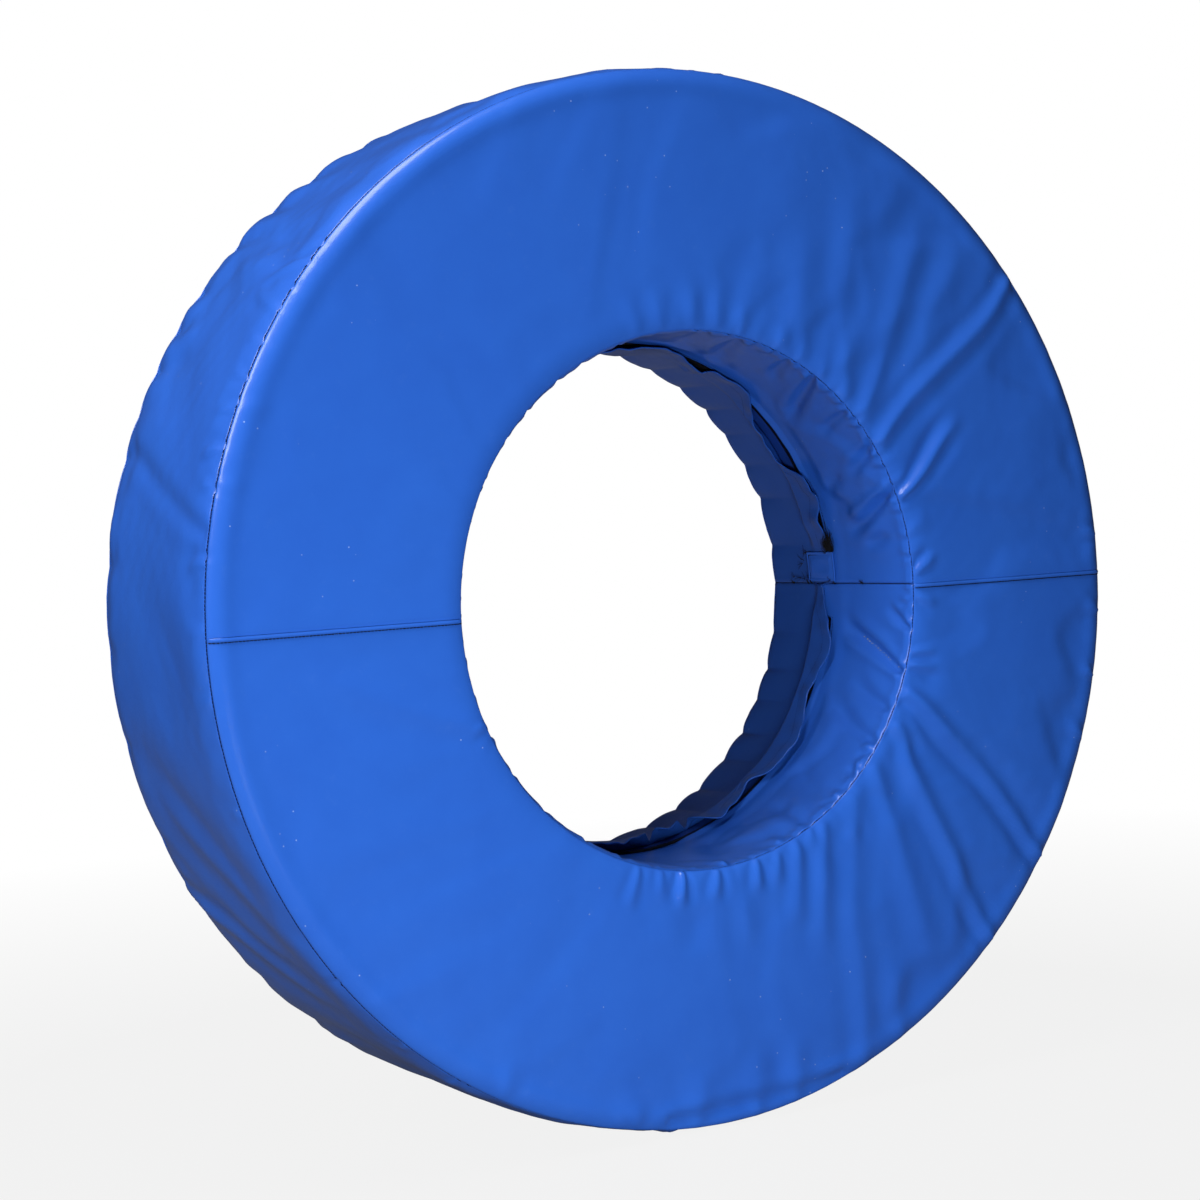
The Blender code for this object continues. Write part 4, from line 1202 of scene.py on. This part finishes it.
def spun_ring(name, outline, finish, steps=180):
    """A solid ring from its closed outline of (radius, across), spun about the axle line."""
    ring = shaped(name, [(r, y, AXLE_HEIGHT) for r, y in outline], [tuple(range(len(outline)))], finish)
    chosen(ring)
    bpy.ops.object.mode_set(mode="EDIT")
    bpy.ops.mesh.select_all(action="SELECT")
    bpy.ops.mesh.delete(type="ONLY_FACE")
    bpy.ops.mesh.select_all(action="SELECT")
    bpy.ops.mesh.spin(steps=steps, angle=FULL_TURN, center=(0, 0, AXLE_HEIGHT), axis=(0, 1, 0))
    bpy.ops.mesh.select_all(action="SELECT")
    bpy.ops.mesh.remove_doubles(threshold=0.00005)
    bpy.ops.mesh.normals_make_consistent(inside=False)
    bpy.ops.object.mode_set(mode="OBJECT")
    ring.data.shade_smooth()
    ring.data.set_sharp_from_angle(angle=math.radians(35))
    return ring


def foam_rings(finish):
    """The three glued slabs of the core, a little below the cover so that its folds have room."""
    inner, outer, middle, glue = 0.3095, 0.5890, 0.0500, 0.0503
    side, corner, soft = FACE_ACROSS - 0.0075, 0.018, 0.004
    outlines = {}
    for name, sign in (("front", -1), ("back", 1)):
        outlines[name] = [(inner, sign * glue), (outer, sign * glue)]
        for radius, inwards, turns in ((outer, -1, range(0, 91, 15)), (inner, 1, range(90, -1, -15))):
            for t in map(math.radians, turns):
                across = sign * (side - corner * (1 - math.sin(t)))
                outlines[name].append((radius + inwards * corner * (1 - math.cos(t)), across))
    outlines["middle"] = [
        (inner + soft, -middle), (outer - soft, -middle), (outer, soft - middle), (outer, middle - soft),
        (outer - soft, middle), (inner + soft, middle), (inner, middle - soft), (inner, soft - middle),
    ]
    for name, outline in outlines.items():
        ring = finished(spun_ring(f"foam_ring_{name}", outline, finish), "foam", f"foam_slab_{name}")


def taken(template):
    """A small shape's corners and faces, for copying. The object itself is removed."""
    corners = np.array([v.co[:] for v in template.data.vertices])
    faces = [tuple(p.vertices) for p in template.data.polygons]
    bpy.data.objects.remove(template)
    return corners, faces


def one_stitch(length, width):
    """One stitch along X: a thread that dips into the cloth at both ends."""
    bpy.ops.object.select_all(action="DESELECT")
    bpy.ops.mesh.primitive_cylinder_add(
        vertices=6, radius=width / 2, depth=length, end_fill_type="TRIFAN", rotation=(0, math.pi / 2, 0))
    stitch = bpy.context.active_object
    bpy.ops.object.transform_apply(rotation=True, location=True)
    for v in stitch.data.vertices:
        if abs(v.co.x) > length * 0.4:
            v.co.z = v.co.z * 0.7 - width * 0.45
            v.co.y *= 0.7
    return taken(stitch)


def copied_along(name, template, places, runs, ups, finish):
    """One object that holds a copy of a small shape at every place, its X along the run and its Z up."""
    corners, faces = template
    runs = unit(runs)
    sides = unit(np.cross(ups, runs))
    axes = (runs, sides, np.cross(runs, sides))
    points = sum(corners[None, :, k:k + 1] * axis[:, None] for k, axis in enumerate(axes)) + places[:, None]
    all_faces = [tuple(v + k * len(corners) for v in f) for k in range(len(places)) for f in faces]
    return shaped(name, points, all_faces, finish)


def stepped(path, ups, pitch, closed):
    """Places a pitch apart along a path of points, with the run and the up direction at each."""
    if closed:
        path, ups = np.concatenate([path, path[:1]]), np.concatenate([ups, ups[:1]])
    walked = np.concatenate([[0], np.cumsum(np.linalg.norm(np.diff(path, axis=0), axis=1))])
    count = max(1, int(round(walked[-1] / pitch)))
    at = (np.arange(count) + 0.5) * walked[-1] / count

    def along(data, w):
        return np.stack([np.interp(w, walked, data[:, k]) for k in range(3)], 1)

    return along(path, at), along(path, at + pitch / 3) - along(path, at - pitch / 3), along(ups, at)


def stitched(name, path, ups, finish, pitch=0.0041, length=0.0032, width=0.0011, closed=False, rise=0.0002):
    """A row of stitches along a path of points on the cloth, raised a little from it."""
    places, runs, up = stepped(path, ups, pitch, closed)
    row = copied_along(name, one_stitch(length, width), places + up * rise, runs, up, finish)
    return finished(row, "cover_fabric")


def seam_threads(cover, blue, dark):
    """The thread rows of the four round seams and of the cross seams on the faces, the tread and the bore."""
    around = ring_angles(1440)
    round_seams = {
        "rim_thread_front": ("tread", SEAMS[0] + 0.0016), "rim_thread_back": ("tread", SEAMS[1] - 0.0008),
        "bore_thread_back": ("bore", SEAMS[2] + 0.0008), "bore_thread_front": ("bore", SEAMS[3] - 0.0008),
    }
    for name, (region, walked) in round_seams.items():
        path, up = cover.place(region, np.full(len(around), walked), around)
        stitched(name, path, up, blue, width=0.0015, closed=True, rise=0.0007)
    for face in ("front", "back"):
        k = REGIONS.index(f"{face}_face")
        walked = np.linspace(SEAMS[k] + 0.004, SEAMS[k + 1] - 0.004, 160)
        beside_edge = 0.0048 / on_section(walked)[0]
        for end, angle in (("left", math.pi + beside_edge), ("right", FULL_TURN - beside_edge)):
            path, up = cover.place(f"{face}_face", walked, angle, 0.0005)
            stitched(f"face_{face}_{end}_thread_1", path, up, dark, width=0.0017, rise=0.0005)
    walked = np.linspace(SEAMS[0] + 0.004, SEAMS[1] - 0.004, 150)
    path, up = cover.place("tread", walked, np.full(len(walked), -0.006 / RIM))
    stitched("tread_cross_thread", path, up, blue)
    # The bore's cross seam runs over its front wall, and over the flap and its back wall
    long_stitch = {"length": 0.0040, "width": 0.0015}
    walked = np.linspace(bore_at(0.030), SEAMS[3] - 0.003, 80)
    path, up = cover.place("bore", walked, np.full(len(walked), 0.0002), -0.0011)
    stitched("bore_cross_thread_front", path, up, dark, **long_stitch)
    across = np.linspace(0.030, SEAM_ACROSS - 0.002, 70)
    flap_radius, flap_across = (part[:FLAP_ROWS, 0] for part in flap_rows(np.array([-0.0004])))
    top = radius_at(across, flap_radius, flap_across) - CLOTH / 2
    path = wheel_points(np.where(across < FLAP_ROOT, top, BORE) + 0.0004, across, np.full(len(across), -0.0002))
    stitched("bore_cross_thread_back", path, towards_axle(np.zeros(len(across))), dark, **long_stitch)


def hem_threads(cover, blue, dark):
    """The thread rows of the front strip's hem, of the flap's hem and round the patch."""
    around = ring_angles(1440)
    path, up = cover.place("bore", bore_at(front_hem(around)) + HEM_STITCHES, around, 0.0003)
    stitched("front_hem_thread", path, up, blue, closed=True)
    radius, across = (part[:FLAP_ROWS] for part in flap_rows(around))
    edge = across[-1]
    line = edge + np.minimum(FLAP_HEM - 0.003, 0.7 * (FLAP_ROOT - edge))
    level = np.array([radius_at(y, *column) for y, *column in zip(line, radius.T, across.T)]) - CLOTH / 2
    stitched("flap_hem_thread", wheel_points(level, line, around), towards_axle(around), blue, closed=True)
    # Along both sides of the patch, along its upper end, and across it a little lower
    inset, second = 0.004, 0.0065
    low, high = PATCH_SPAN[0] + 0.001 / BORE, PATCH_SPAN[1] - inset / BORE
    front, back = PATCH_ACROSS[0] + 0.007, PATCH_ACROSS[1] - inset
    lower = high - second / BORE
    rows = (
        (low, high, front, front), (low, high, back, back),
        (high, high, front, back), (lower, lower, front, back),
    )
    row_points = 24
    for number, (first, last, start, end) in enumerate(rows, 1):
        angle, across = np.linspace(first, last, row_points), np.linspace(start, end, row_points)
        path = wheel_points(np.full(row_points, PATCH_LEVEL - CLOTH / 2 + 0.0003), across, angle)
        stitched(
            f"patch_thread_{number}", path, towards_axle(angle), dark,
            pitch=0.0036, length=0.0031, width=0.0013)


# Thread ends beside the cross seam, as (angle in degrees, place across, length), and the places of its knots
THREAD_TAILS = [
    (7.6, 0.060, 0.012), (7.4, 0.062, 0.008), (1.0, 0.070, 0.010), (1.2, 0.078, 0.012), (5.5, 0.068, 0.013),
    (4.8, 0.072, 0.009), (1.4, 0.062, 0.007), (7.2, 0.020, 0.006), (1.5, 0.092, 0.006), (0.8, 0.016, 0.006),
]
THREAD_KNOTS = (-0.045, -0.046, 0.012, 0.060, 0.066, 0.098)


def loose_threads(dark):
    """The frayed black tuft above the patch, and the thread ends and knots left along the cross seam."""
    rng = random.Random(31)

    def degrees_between(low, high):
        return math.radians(rng.uniform(low, high))

    # Each hair has its root and its tip as (angle, place across, radius), and how far it bows aside and inwards
    hairs = []
    in_tuft, by_tail, by_knot = 110, 4, 9
    for _ in range(in_tuft):
        root = (degrees_between(7.4, 8.4), rng.uniform(0.004, 0.021), rng.uniform(0.2985, 0.3015))
        reach = rng.uniform(0.5, 1.0) * (1.5 if rng.random() < 0.12 else 1.0)
        angle = root[0] + math.radians(5.2 * reach * rng.uniform(0.6, 1))
        across = root[1] + reach * rng.uniform(-0.005, 0.002)
        tip = (angle, across, 0.3018 - 0.006 * rng.random() ** 2)
        hairs.append((root, tip, rng.uniform(-0.004, 0.004), rng.uniform(0.0, 0.004)))
    for degrees, y, length in THREAD_TAILS:
        for _ in range(by_tail):
            angle, across = degrees + rng.uniform(-1.6, 1.9), y + length * rng.uniform(0.3, 1.0)
            tip = (math.radians(angle), across, 0.2985 - 0.002 * rng.random())
            root = (math.radians(degrees), y, 0.2995)
            hairs.append((root, tip, rng.uniform(-0.002, 0.002), rng.uniform(0.0, 0.002)))
    for y in THREAD_KNOTS:
        for _ in range(by_knot):
            root = (degrees_between(-0.2, 0.2), y + rng.uniform(-0.001, 0.001), 0.3030)
            tip = (degrees_between(-0.2, 0.9), y + rng.uniform(-0.003, 0.003), 0.3005 - 0.0015 * rng.random())
            hairs.append((root, tip, rng.uniform(-0.001, 0.001), 0.001))
    rings, sides = 7, 4
    corners = (0, 1.57, 3.14, 4.71)
    t = np.linspace(0, 1, rings)[:, None]
    root_width = 0.00028
    width = root_width * (1 - 0.5 * t)
    points, faces = [], []
    for root, tip, aside, lift in hairs:
        root, tip = np.array(root), np.array(tip)
        place = root + t * (tip - root)
        bow = np.sin(t[:, 0] * math.pi)
        line = wheel_points(place[:, 2] - lift * bow, place[:, 1] + aside * bow, place[:, 0])
        run = np.gradient(line, axis=0)
        side = unit(np.cross(run, (0.31, 0.52, 0.79)))
        over = unit(np.cross(run, side))
        first, last = len(points) * sides, (len(points) + rings - 1) * sides
        for place, wide, x, y in zip(line, width, side, over):
            points.append([place + wide * (math.cos(c) * x + math.sin(c) * y) for c in corners])
        for start in range(first, last, sides):
            for c in range(sides):
                d = (c + 1) % sides
                faces.append((start + c, start + d, start + sides + d, start + sides + c))
        faces += [tuple(range(first + sides - 1, first - 1, -1)), tuple(range(last, last + sides))]
    return finished(shaped("loose_threads", points, faces, dark), "cover_fabric")


def zip_tapes(finish):
    """The zip's two woven tapes, round the bore under the flap and the front strip's hem."""
    thickness, tape_width = 0.0006, 0.016
    for half in ("front", "back"):
        low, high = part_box(f"zip_tape_{half}")
        angles, across = np.meshgrid(np.linspace(*TAPE_SPAN, 620), np.linspace(high.y, low.y, 7))
        waved = 0.00012 * np.sin(angles * 190) * np.abs(across - ZIP_ACROSS) / tape_width
        level = TAPE_LEVEL + thickness / 2 + waved
        points = wheel_points(level, across, angles)
        tape = cloth_mesh(f"zip_tape_{half}_weave", points, False, (angles * BORE, across), finish)
        thickened(tape, thickness, offset=0.0)
        finished(tape, "zip_tape", f"zip_tape_{half}")


def one_tooth():
    """One turn of the coil, seen as a flattened loop across the tape, with a rounder head at its middle end."""
    bpy.ops.object.select_all(action="DESELECT")
    bpy.ops.mesh.primitive_cube_add(size=1, location=(0, 0, 0))
    tooth = bpy.context.active_object
    thick, long, high = 0.00072, 0.0054, 0.0026
    tooth.scale = (thick, long, high)
    bpy.ops.object.transform_apply(scale=True)
    bpy.ops.object.mode_set(mode="EDIT")
    bpy.ops.mesh.select_all(action="SELECT")
    bpy.ops.mesh.bevel(offset=0.00024, segments=1, affect="EDGES")
    bpy.ops.object.mode_set(mode="OBJECT")
    for v in tooth.data.vertices:
        if v.co.y > 0.0022:
            v.co.x *= 1.25
        elif v.co.y < -0.002:
            v.co.z *= 0.8
    return taken(tooth)


def zip_coils(nylon, thread_finish):
    """The two rows of teeth, half a pitch apart, each with the thread that sews it to its tape."""
    corners, faces = one_tooth()
    # The radius of each row and its distance from the zip's middle line
    teeth_level, teeth_aside = 0.3024, 0.0023
    thread_level, thread_aside = 0.30105, 0.0034
    thread_points = 1200
    start, end = COIL_SPAN
    count = int((end - start) * BORE / TOOTH_PITCH)
    for half, side in (("front", -1), ("back", 1)):
        angles = start + (np.arange(count) + 0.5 + 0.25 * side) * (end - start) / count
        across = np.full(count, ZIP_ACROSS + side * teeth_aside)
        places = wheel_points(np.full(count, teeth_level), across, angles)
        runs = np.stack([-np.sin(angles), 0 * angles, np.cos(angles)], 1)
        # The back row is the front one's mirror image, so its faces are turned to point outwards again
        template = (corners * np.array([1, -side, 1]), faces if side < 0 else [f[::-1] for f in faces])
        coil = copied_along(f"zip_coil_{half}_teeth", template, places, runs, towards_axle(angles), nylon)
        finished(coil, "zip_coil", f"zip_coil_{half}")
        line = np.linspace(start, end, thread_points)
        across = np.full(thread_points, ZIP_ACROSS + side * thread_aside)
        path = wheel_points(np.full(thread_points, thread_level), across, line)
        row = stitched(
            f"zip_coil_{half}_thread", path, towards_axle(line), thread_finish,
            pitch=0.0026, length=0.0024, width=0.0005)


# The stage

PAPER_WHITE = (1.0, 1.0, 1.0)
FLOOR_GREY = (0.09, 0.09, 0.09)
DAYLIGHT_COLOUR = (0.93, 0.95, 1.0, 1.0)
# How much of the floor's white the cover reflects, and how white the floor is under the wheel and further off
GLOSSY_SHARE = 0.03
FLOOR_WHITE_NEAR, FLOOR_NEAR, FLOOR_FAR = 0.87, 0.9, 2.6


def photographed_camera(settings):
    """A camera at the photographed angles, turned about the axle line, because the wheel's seams lie level."""
    az, el = math.radians(settings.azimuth), math.radians(settings.elevation)
    back = Vector((math.sin(az) * math.cos(el), -math.cos(az) * math.cos(el), math.sin(el)))
    right = Vector((math.cos(az), math.sin(az), 0))
    up = back.cross(right)
    eye = (back * settings.distance + right * settings.aside + up * settings.above) * RIM
    placed = Matrix.Translation(eye) @ Matrix((right, up, back)).transposed().to_4x4()
    turned = Matrix.Rotation(settings.roll_of_wheel, 4, "Y")
    data = bpy.data.cameras.new("photograph_camera")
    data.lens = settings.lens
    camera = bpy.data.objects.new("photograph_camera", data)
    bpy.context.scene.collection.objects.link(camera)
    camera.matrix_world = Matrix.Translation((0, 0, AXLE_HEIGHT)) @ turned @ placed
    bpy.context.scene.camera = camera
    return camera


def soft_lamp(name, place, size, power, aim=(0, 0, 0.6)):
    """A lamp with a wide even face, aimed at a point."""
    bpy.ops.object.light_add(type="AREA", location=place)
    lamp = bpy.context.active_object
    lamp.name = name
    lamp.data.shape = "RECTANGLE"
    lamp.data.size, lamp.data.size_y = size
    lamp.data.energy = power
    lamp.rotation_euler = (Vector(aim) - Vector(place)).to_track_quat("-Z", "Y").to_euler()
    return lamp


def backdrop_rays(finish):
    """1 for the rays that show the backdrop, which are the camera's, and a little for glossy ones."""
    rays = finish.node("ShaderNodeLightPath", output=0)
    outputs = rays.socket.node.outputs
    glossy, through = Value(finish, outputs["Is Glossy Ray"]), Value(finish, outputs["Is Transmission Ray"])
    return (rays + glossy * GLOSSY_SHARE + through).between(0.0, 1.0)


def pale_floor():
    """A wide pale floor that keeps the wheel's shadow and is as white as the backdrop further off."""
    bpy.ops.object.select_all(action="DESELECT")
    bpy.ops.mesh.primitive_circle_add(vertices=96, radius=14, fill_type="NGON", location=(0, 0, 0))
    floor = bpy.context.active_object
    floor.name = "pale_floor"
    finish = Finish("pale_floor", Roughness=0.9)
    finish.give("Base Color", FLOOR_GREY)
    distance = finish.node("ShaderNodeVectorMath", {"operation": "LENGTH"}, {0: finish.place()}, output=1)
    white = finish.node("ShaderNodeEmission", {}, {"Color": PAPER_WHITE, "Strength": 1.0})
    away = distance.between(FLOOR_NEAR, FLOOR_FAR)
    share = backdrop_rays(finish) * (FLOOR_WHITE_NEAR + away * (1 - FLOOR_WHITE_NEAR))
    plain = Value(finish, finish.shader.outputs[0])
    mixed = finish.node("ShaderNodeMixShader", {}, {0: share, 1: plain, 2: white})
    output = next(n for n in finish.tree.nodes if n.type == "OUTPUT_MATERIAL")
    finish.tree.links.new(mixed.socket, output.inputs["Surface"])
    floor.data.materials.append(finish.material)
    return floor


def pale_world(strength):
    """White where the camera sees it, and a weak pale light from all round."""
    world = bpy.data.worlds.new("pale_world")
    bpy.context.scene.world = world
    world.use_nodes = True
    tree = world.node_tree
    light = tree.nodes["Background"]
    light.inputs["Color"].default_value = DAYLIGHT_COLOUR
    light.inputs["Strength"].default_value = strength
    shown = tree.nodes.new("ShaderNodeBackground")
    shown.inputs["Color"].default_value = (*PAPER_WHITE, 1.0)
    shown.inputs["Strength"].default_value = 1.0
    rays = tree.nodes.new("ShaderNodeLightPath")
    mix = tree.nodes.new("ShaderNodeMixShader")
    seen = tree.nodes.new("ShaderNodeMath")
    seen.operation, seen.use_clamp = "ADD", True
    tree.links.new(rays.outputs["Is Camera Ray"], seen.inputs[0])
    tree.links.new(rays.outputs["Is Transmission Ray"], seen.inputs[1])
    tree.links.new(seen.outputs[0], mix.inputs[0])
    tree.links.new(light.outputs[0], mix.inputs[1])
    tree.links.new(shown.outputs[0], mix.inputs[2])
    tree.links.new(mix.outputs[0], tree.nodes["World Output"].inputs["Surface"])


# The add-on

def colour_setting(name, description, default):
    return bpy.props.FloatVectorProperty(
        name=name, description=description, default=default, min=0, max=1, size=3, subtype="COLOR")


def power_setting(name, description, watts):
    return bpy.props.FloatProperty(name=name, description=description, default=watts, min=0, unit="POWER")


class WheelFinishes(bpy.types.PropertyGroup):
    fabric_colour: colour_setting("Fabric", "The cover's blue", (0.0225, 0.118, 0.55))
    fabric_shade: colour_setting("Fabric shade", "The deeper blue that mottles it", (0.017, 0.094, 0.485))
    fabric_roughness: bpy.props.FloatProperty(
        name="Fabric roughness", description="How matt the coated fabric is",
        default=0.40, min=0.1, max=1, subtype="FACTOR")
    thread_colour: colour_setting("Thread", "The navy sewing thread", (0.004, 0.009, 0.055))


class WheelStage(bpy.types.PropertyGroup):
    azimuth: bpy.props.FloatProperty(
        name="Azimuth", description="The camera's angle round the wheel, in degrees", default=-31.107)
    elevation: bpy.props.FloatProperty(
        name="Elevation", description="The camera's angle above the level, in degrees", default=0.804)
    distance: bpy.props.FloatProperty(
        name="Distance", description="The camera's distance, in wheel radii", default=4.9578)
    aside: bpy.props.FloatProperty(
        name="Aside", description="The camera's place to its right, in wheel radii", default=-0.0646)
    above: bpy.props.FloatProperty(
        name="Above", description="The camera's place upwards, in wheel radii", default=-0.0018)
    lens: bpy.props.FloatProperty(
        name="Lens", description="Focal length in mm", default=75.887, subtype="DISTANCE_CAMERA")
    roll_of_wheel: bpy.props.FloatProperty(
        name="Roll of the wheel", description="How far the photographed wheel is rolled",
        default=math.radians(3.3), subtype="ANGLE")
    main_power: power_setting("Main lamp", "Power of the soft lamp at the upper left", 42.0)
    high_power: power_setting("High lamp", "Power of the soft lamp over the wheel's left side", 35.0)
    front_power: power_setting("Front lamp", "Power of the soft lamp low in front", 29.0)
    side_power: power_setting("Side lamp", "Power of the low lamp beside the tread", 7.0)
    back_power: power_setting("Back lamp", "Power of the soft lamp behind the wheel", 32.0)
    daylight: bpy.props.FloatProperty(
        name="Daylight", description="Strength of the pale light from all round", default=0.032, min=0, max=2)


# What one operator makes and the next ones use: the finishes, and the cover's shape
workshop = {}


class WHEEL_OT_stage(bpy.types.Operator):
    """Sets the camera, the lamps, the pale floor and the white backdrop"""
    bl_idname = "wheel.stage"
    bl_label = "Stage"

    def execute(self, context):
        settings = context.scene.wheel_stage
        context.scene.view_settings.view_transform = "Standard"
        photographed_camera(settings)
        pale_floor()
        pale_world(settings.daylight)
        soft_lamp("main_lamp", (-2.3, -0.6, 2.1), (1.1, 1.1), settings.main_power)
        soft_lamp("high_lamp", (-0.9, -0.5, 2.5), (1.1, 1.1), settings.high_power)
        low_lamps = (
            soft_lamp("front_lamp", (-0.7, -1.7, 0.15), (0.8, 0.3), settings.front_power),
            soft_lamp("side_lamp", (-2.2, 0.3, 0.15), (0.9, 0.4), settings.side_power, aim=(-0.5, 0, 0.15)),
            soft_lamp("back_lamp", (1.4, 2.7, 1.3), (1.5, 1.5), settings.back_power),
        )
        for lamp in low_lamps:
            lamp.visible_glossy = False
        return {"FINISHED"}


class WHEEL_OT_materials(bpy.types.Operator):
    """Makes the finishes that the pieces share"""
    bl_idname = "wheel.materials"
    bl_label = "Finishes"

    def execute(self, context):
        settings = context.scene.wheel_finishes
        blue, shade = tuple(settings.fabric_colour), tuple(settings.fabric_shade)
        # Painted shade: the back strip and its flap take the cover's colours dimmed for the wheel's own shade
        painted_shade_colours = [tuple(BACK_STRIP_PAINTED_SHADE * part for part in colour) for colour in (blue, shade)]
        workshop["fabric"] = coated_fabric("cover_fabric", blue, shade, settings.fabric_roughness)
        workshop["back_fabric"] = coated_fabric("back_strip_painted_shade_fabric", *painted_shade_colours, settings.fabric_roughness)
        workshop["underlap"] = coated_fabric("underlap_fabric", UNDERLAP_BLUE, UNDERLAP_SHADE, 0.5)
        workshop["thread"] = thread("navy_thread", tuple(settings.thread_colour), NAVY_GLINT)
        workshop["dark_thread"] = thread("dark_thread", DARK_THREAD, DARK_GLINT)
        workshop["black_thread"] = thread("black_thread", BLACK_THREAD, BLACK_GLINT)
        workshop["foam"] = foam("foam")
        workshop["tape"] = zip_tape("zip_tape")
        workshop["nylon"] = zip_nylon("zip_coil")
        workshop["metal"] = zip_metal("zip_metal")
        return {"FINISHED"}


class WHEEL_OT_foam(bpy.types.Operator):
    """Builds the foam core's three slabs"""
    bl_idname = "wheel.foam"
    bl_label = "Foam core"

    def execute(self, context):
        foam_rings(workshop["foam"])
        return {"FINISHED"}


class WHEEL_OT_cover(bpy.types.Operator):
    """Builds the padded cover: faces, tread and the bore's front strip"""
    bl_idname = "wheel.cover"
    bl_label = "Cover"

    def execute(self, context):
        cover = workshop["cover"] = Cover(simulated_swell())
        for face in ("front", "back"):
            for half in ("upper", "lower"):
                face_panel(cover, face, half, workshop["fabric"])
        tread_cover(cover, workshop["fabric"])
        front_strip(cover, workshop["fabric"])
        return {"FINISHED"}


class WHEEL_OT_flap(bpy.types.Operator):
    """Builds the bore's back strip with the flap, the underlap and the end patch"""
    bl_idname = "wheel.flap"
    bl_label = "Flap and patch"

    def execute(self, context):
        # The back strip's finish carries painted shade
        back_strip(workshop["cover"], workshop["back_fabric"])
        underlap(workshop["underlap"])
        end_patch(workshop["fabric"])
        return {"FINISHED"}


class WHEEL_OT_zip(bpy.types.Operator):
    """Builds the zip's tapes and coils and finishes its metal parts"""
    bl_idname = "wheel.zip"
    bl_label = "Zip"

    def execute(self, context):
        zip_tapes(workshop["tape"])
        zip_coils(workshop["nylon"], workshop["black_thread"])
        for name in ("zip_stop_front", "zip_stop_back", "zip_start_box", "zip_slider", "zip_pull_tab"):
            node = frame["nodes"][name]
            node.data.materials.clear()
            node.data.materials.append(workshop["metal"])
        return {"FINISHED"}


class WHEEL_OT_stitching(bpy.types.Operator):
    """Sews the seams, the hems and the patch"""
    bl_idname = "wheel.stitching"
    bl_label = "Stitching"

    def execute(self, context):
        seam_threads(workshop["cover"], workshop["thread"], workshop["dark_thread"])
        hem_threads(workshop["cover"], workshop["thread"], workshop["dark_thread"])
        loose_threads(workshop["black_thread"])
        return {"FINISHED"}


STEPS = (
    WHEEL_OT_materials, WHEEL_OT_foam, WHEEL_OT_cover, WHEEL_OT_flap, WHEEL_OT_zip, WHEEL_OT_stitching,
    WHEEL_OT_stage,
)


class WHEEL_PT_panel(bpy.types.Panel):
    """Lists the wheel's steps"""
    bl_idname = "WHEEL_PT_panel"
    bl_label = "Tackling wheel"
    bl_space_type = "VIEW_3D"
    bl_region_type = "UI"
    bl_category = "Wheel"

    def draw(self, context):
        for name in WheelFinishes.__annotations__:
            self.layout.prop(context.scene.wheel_finishes, name)
        for name in WheelStage.__annotations__:
            self.layout.prop(context.scene.wheel_stage, name)
        for each in STEPS:
            self.layout.operator(each.bl_idname)


CLASSES = (WheelFinishes, WheelStage, *STEPS, WHEEL_PT_panel)


def register():
    for each in CLASSES:
        bpy.utils.register_class(each)
    bpy.types.Scene.wheel_finishes = bpy.props.PointerProperty(type=WheelFinishes)
    bpy.types.Scene.wheel_stage = bpy.props.PointerProperty(type=WheelStage)


def unregister():
    del bpy.types.Scene.wheel_stage, bpy.types.Scene.wheel_finishes
    for each in reversed(CLASSES):
        bpy.utils.unregister_class(each)


def main():
    register()
    for name in ("materials", "foam", "cover", "flap", "zip", "stitching", "stage"):
        getattr(bpy.ops.wheel, name)()


if __name__ == "__main__":
    main()
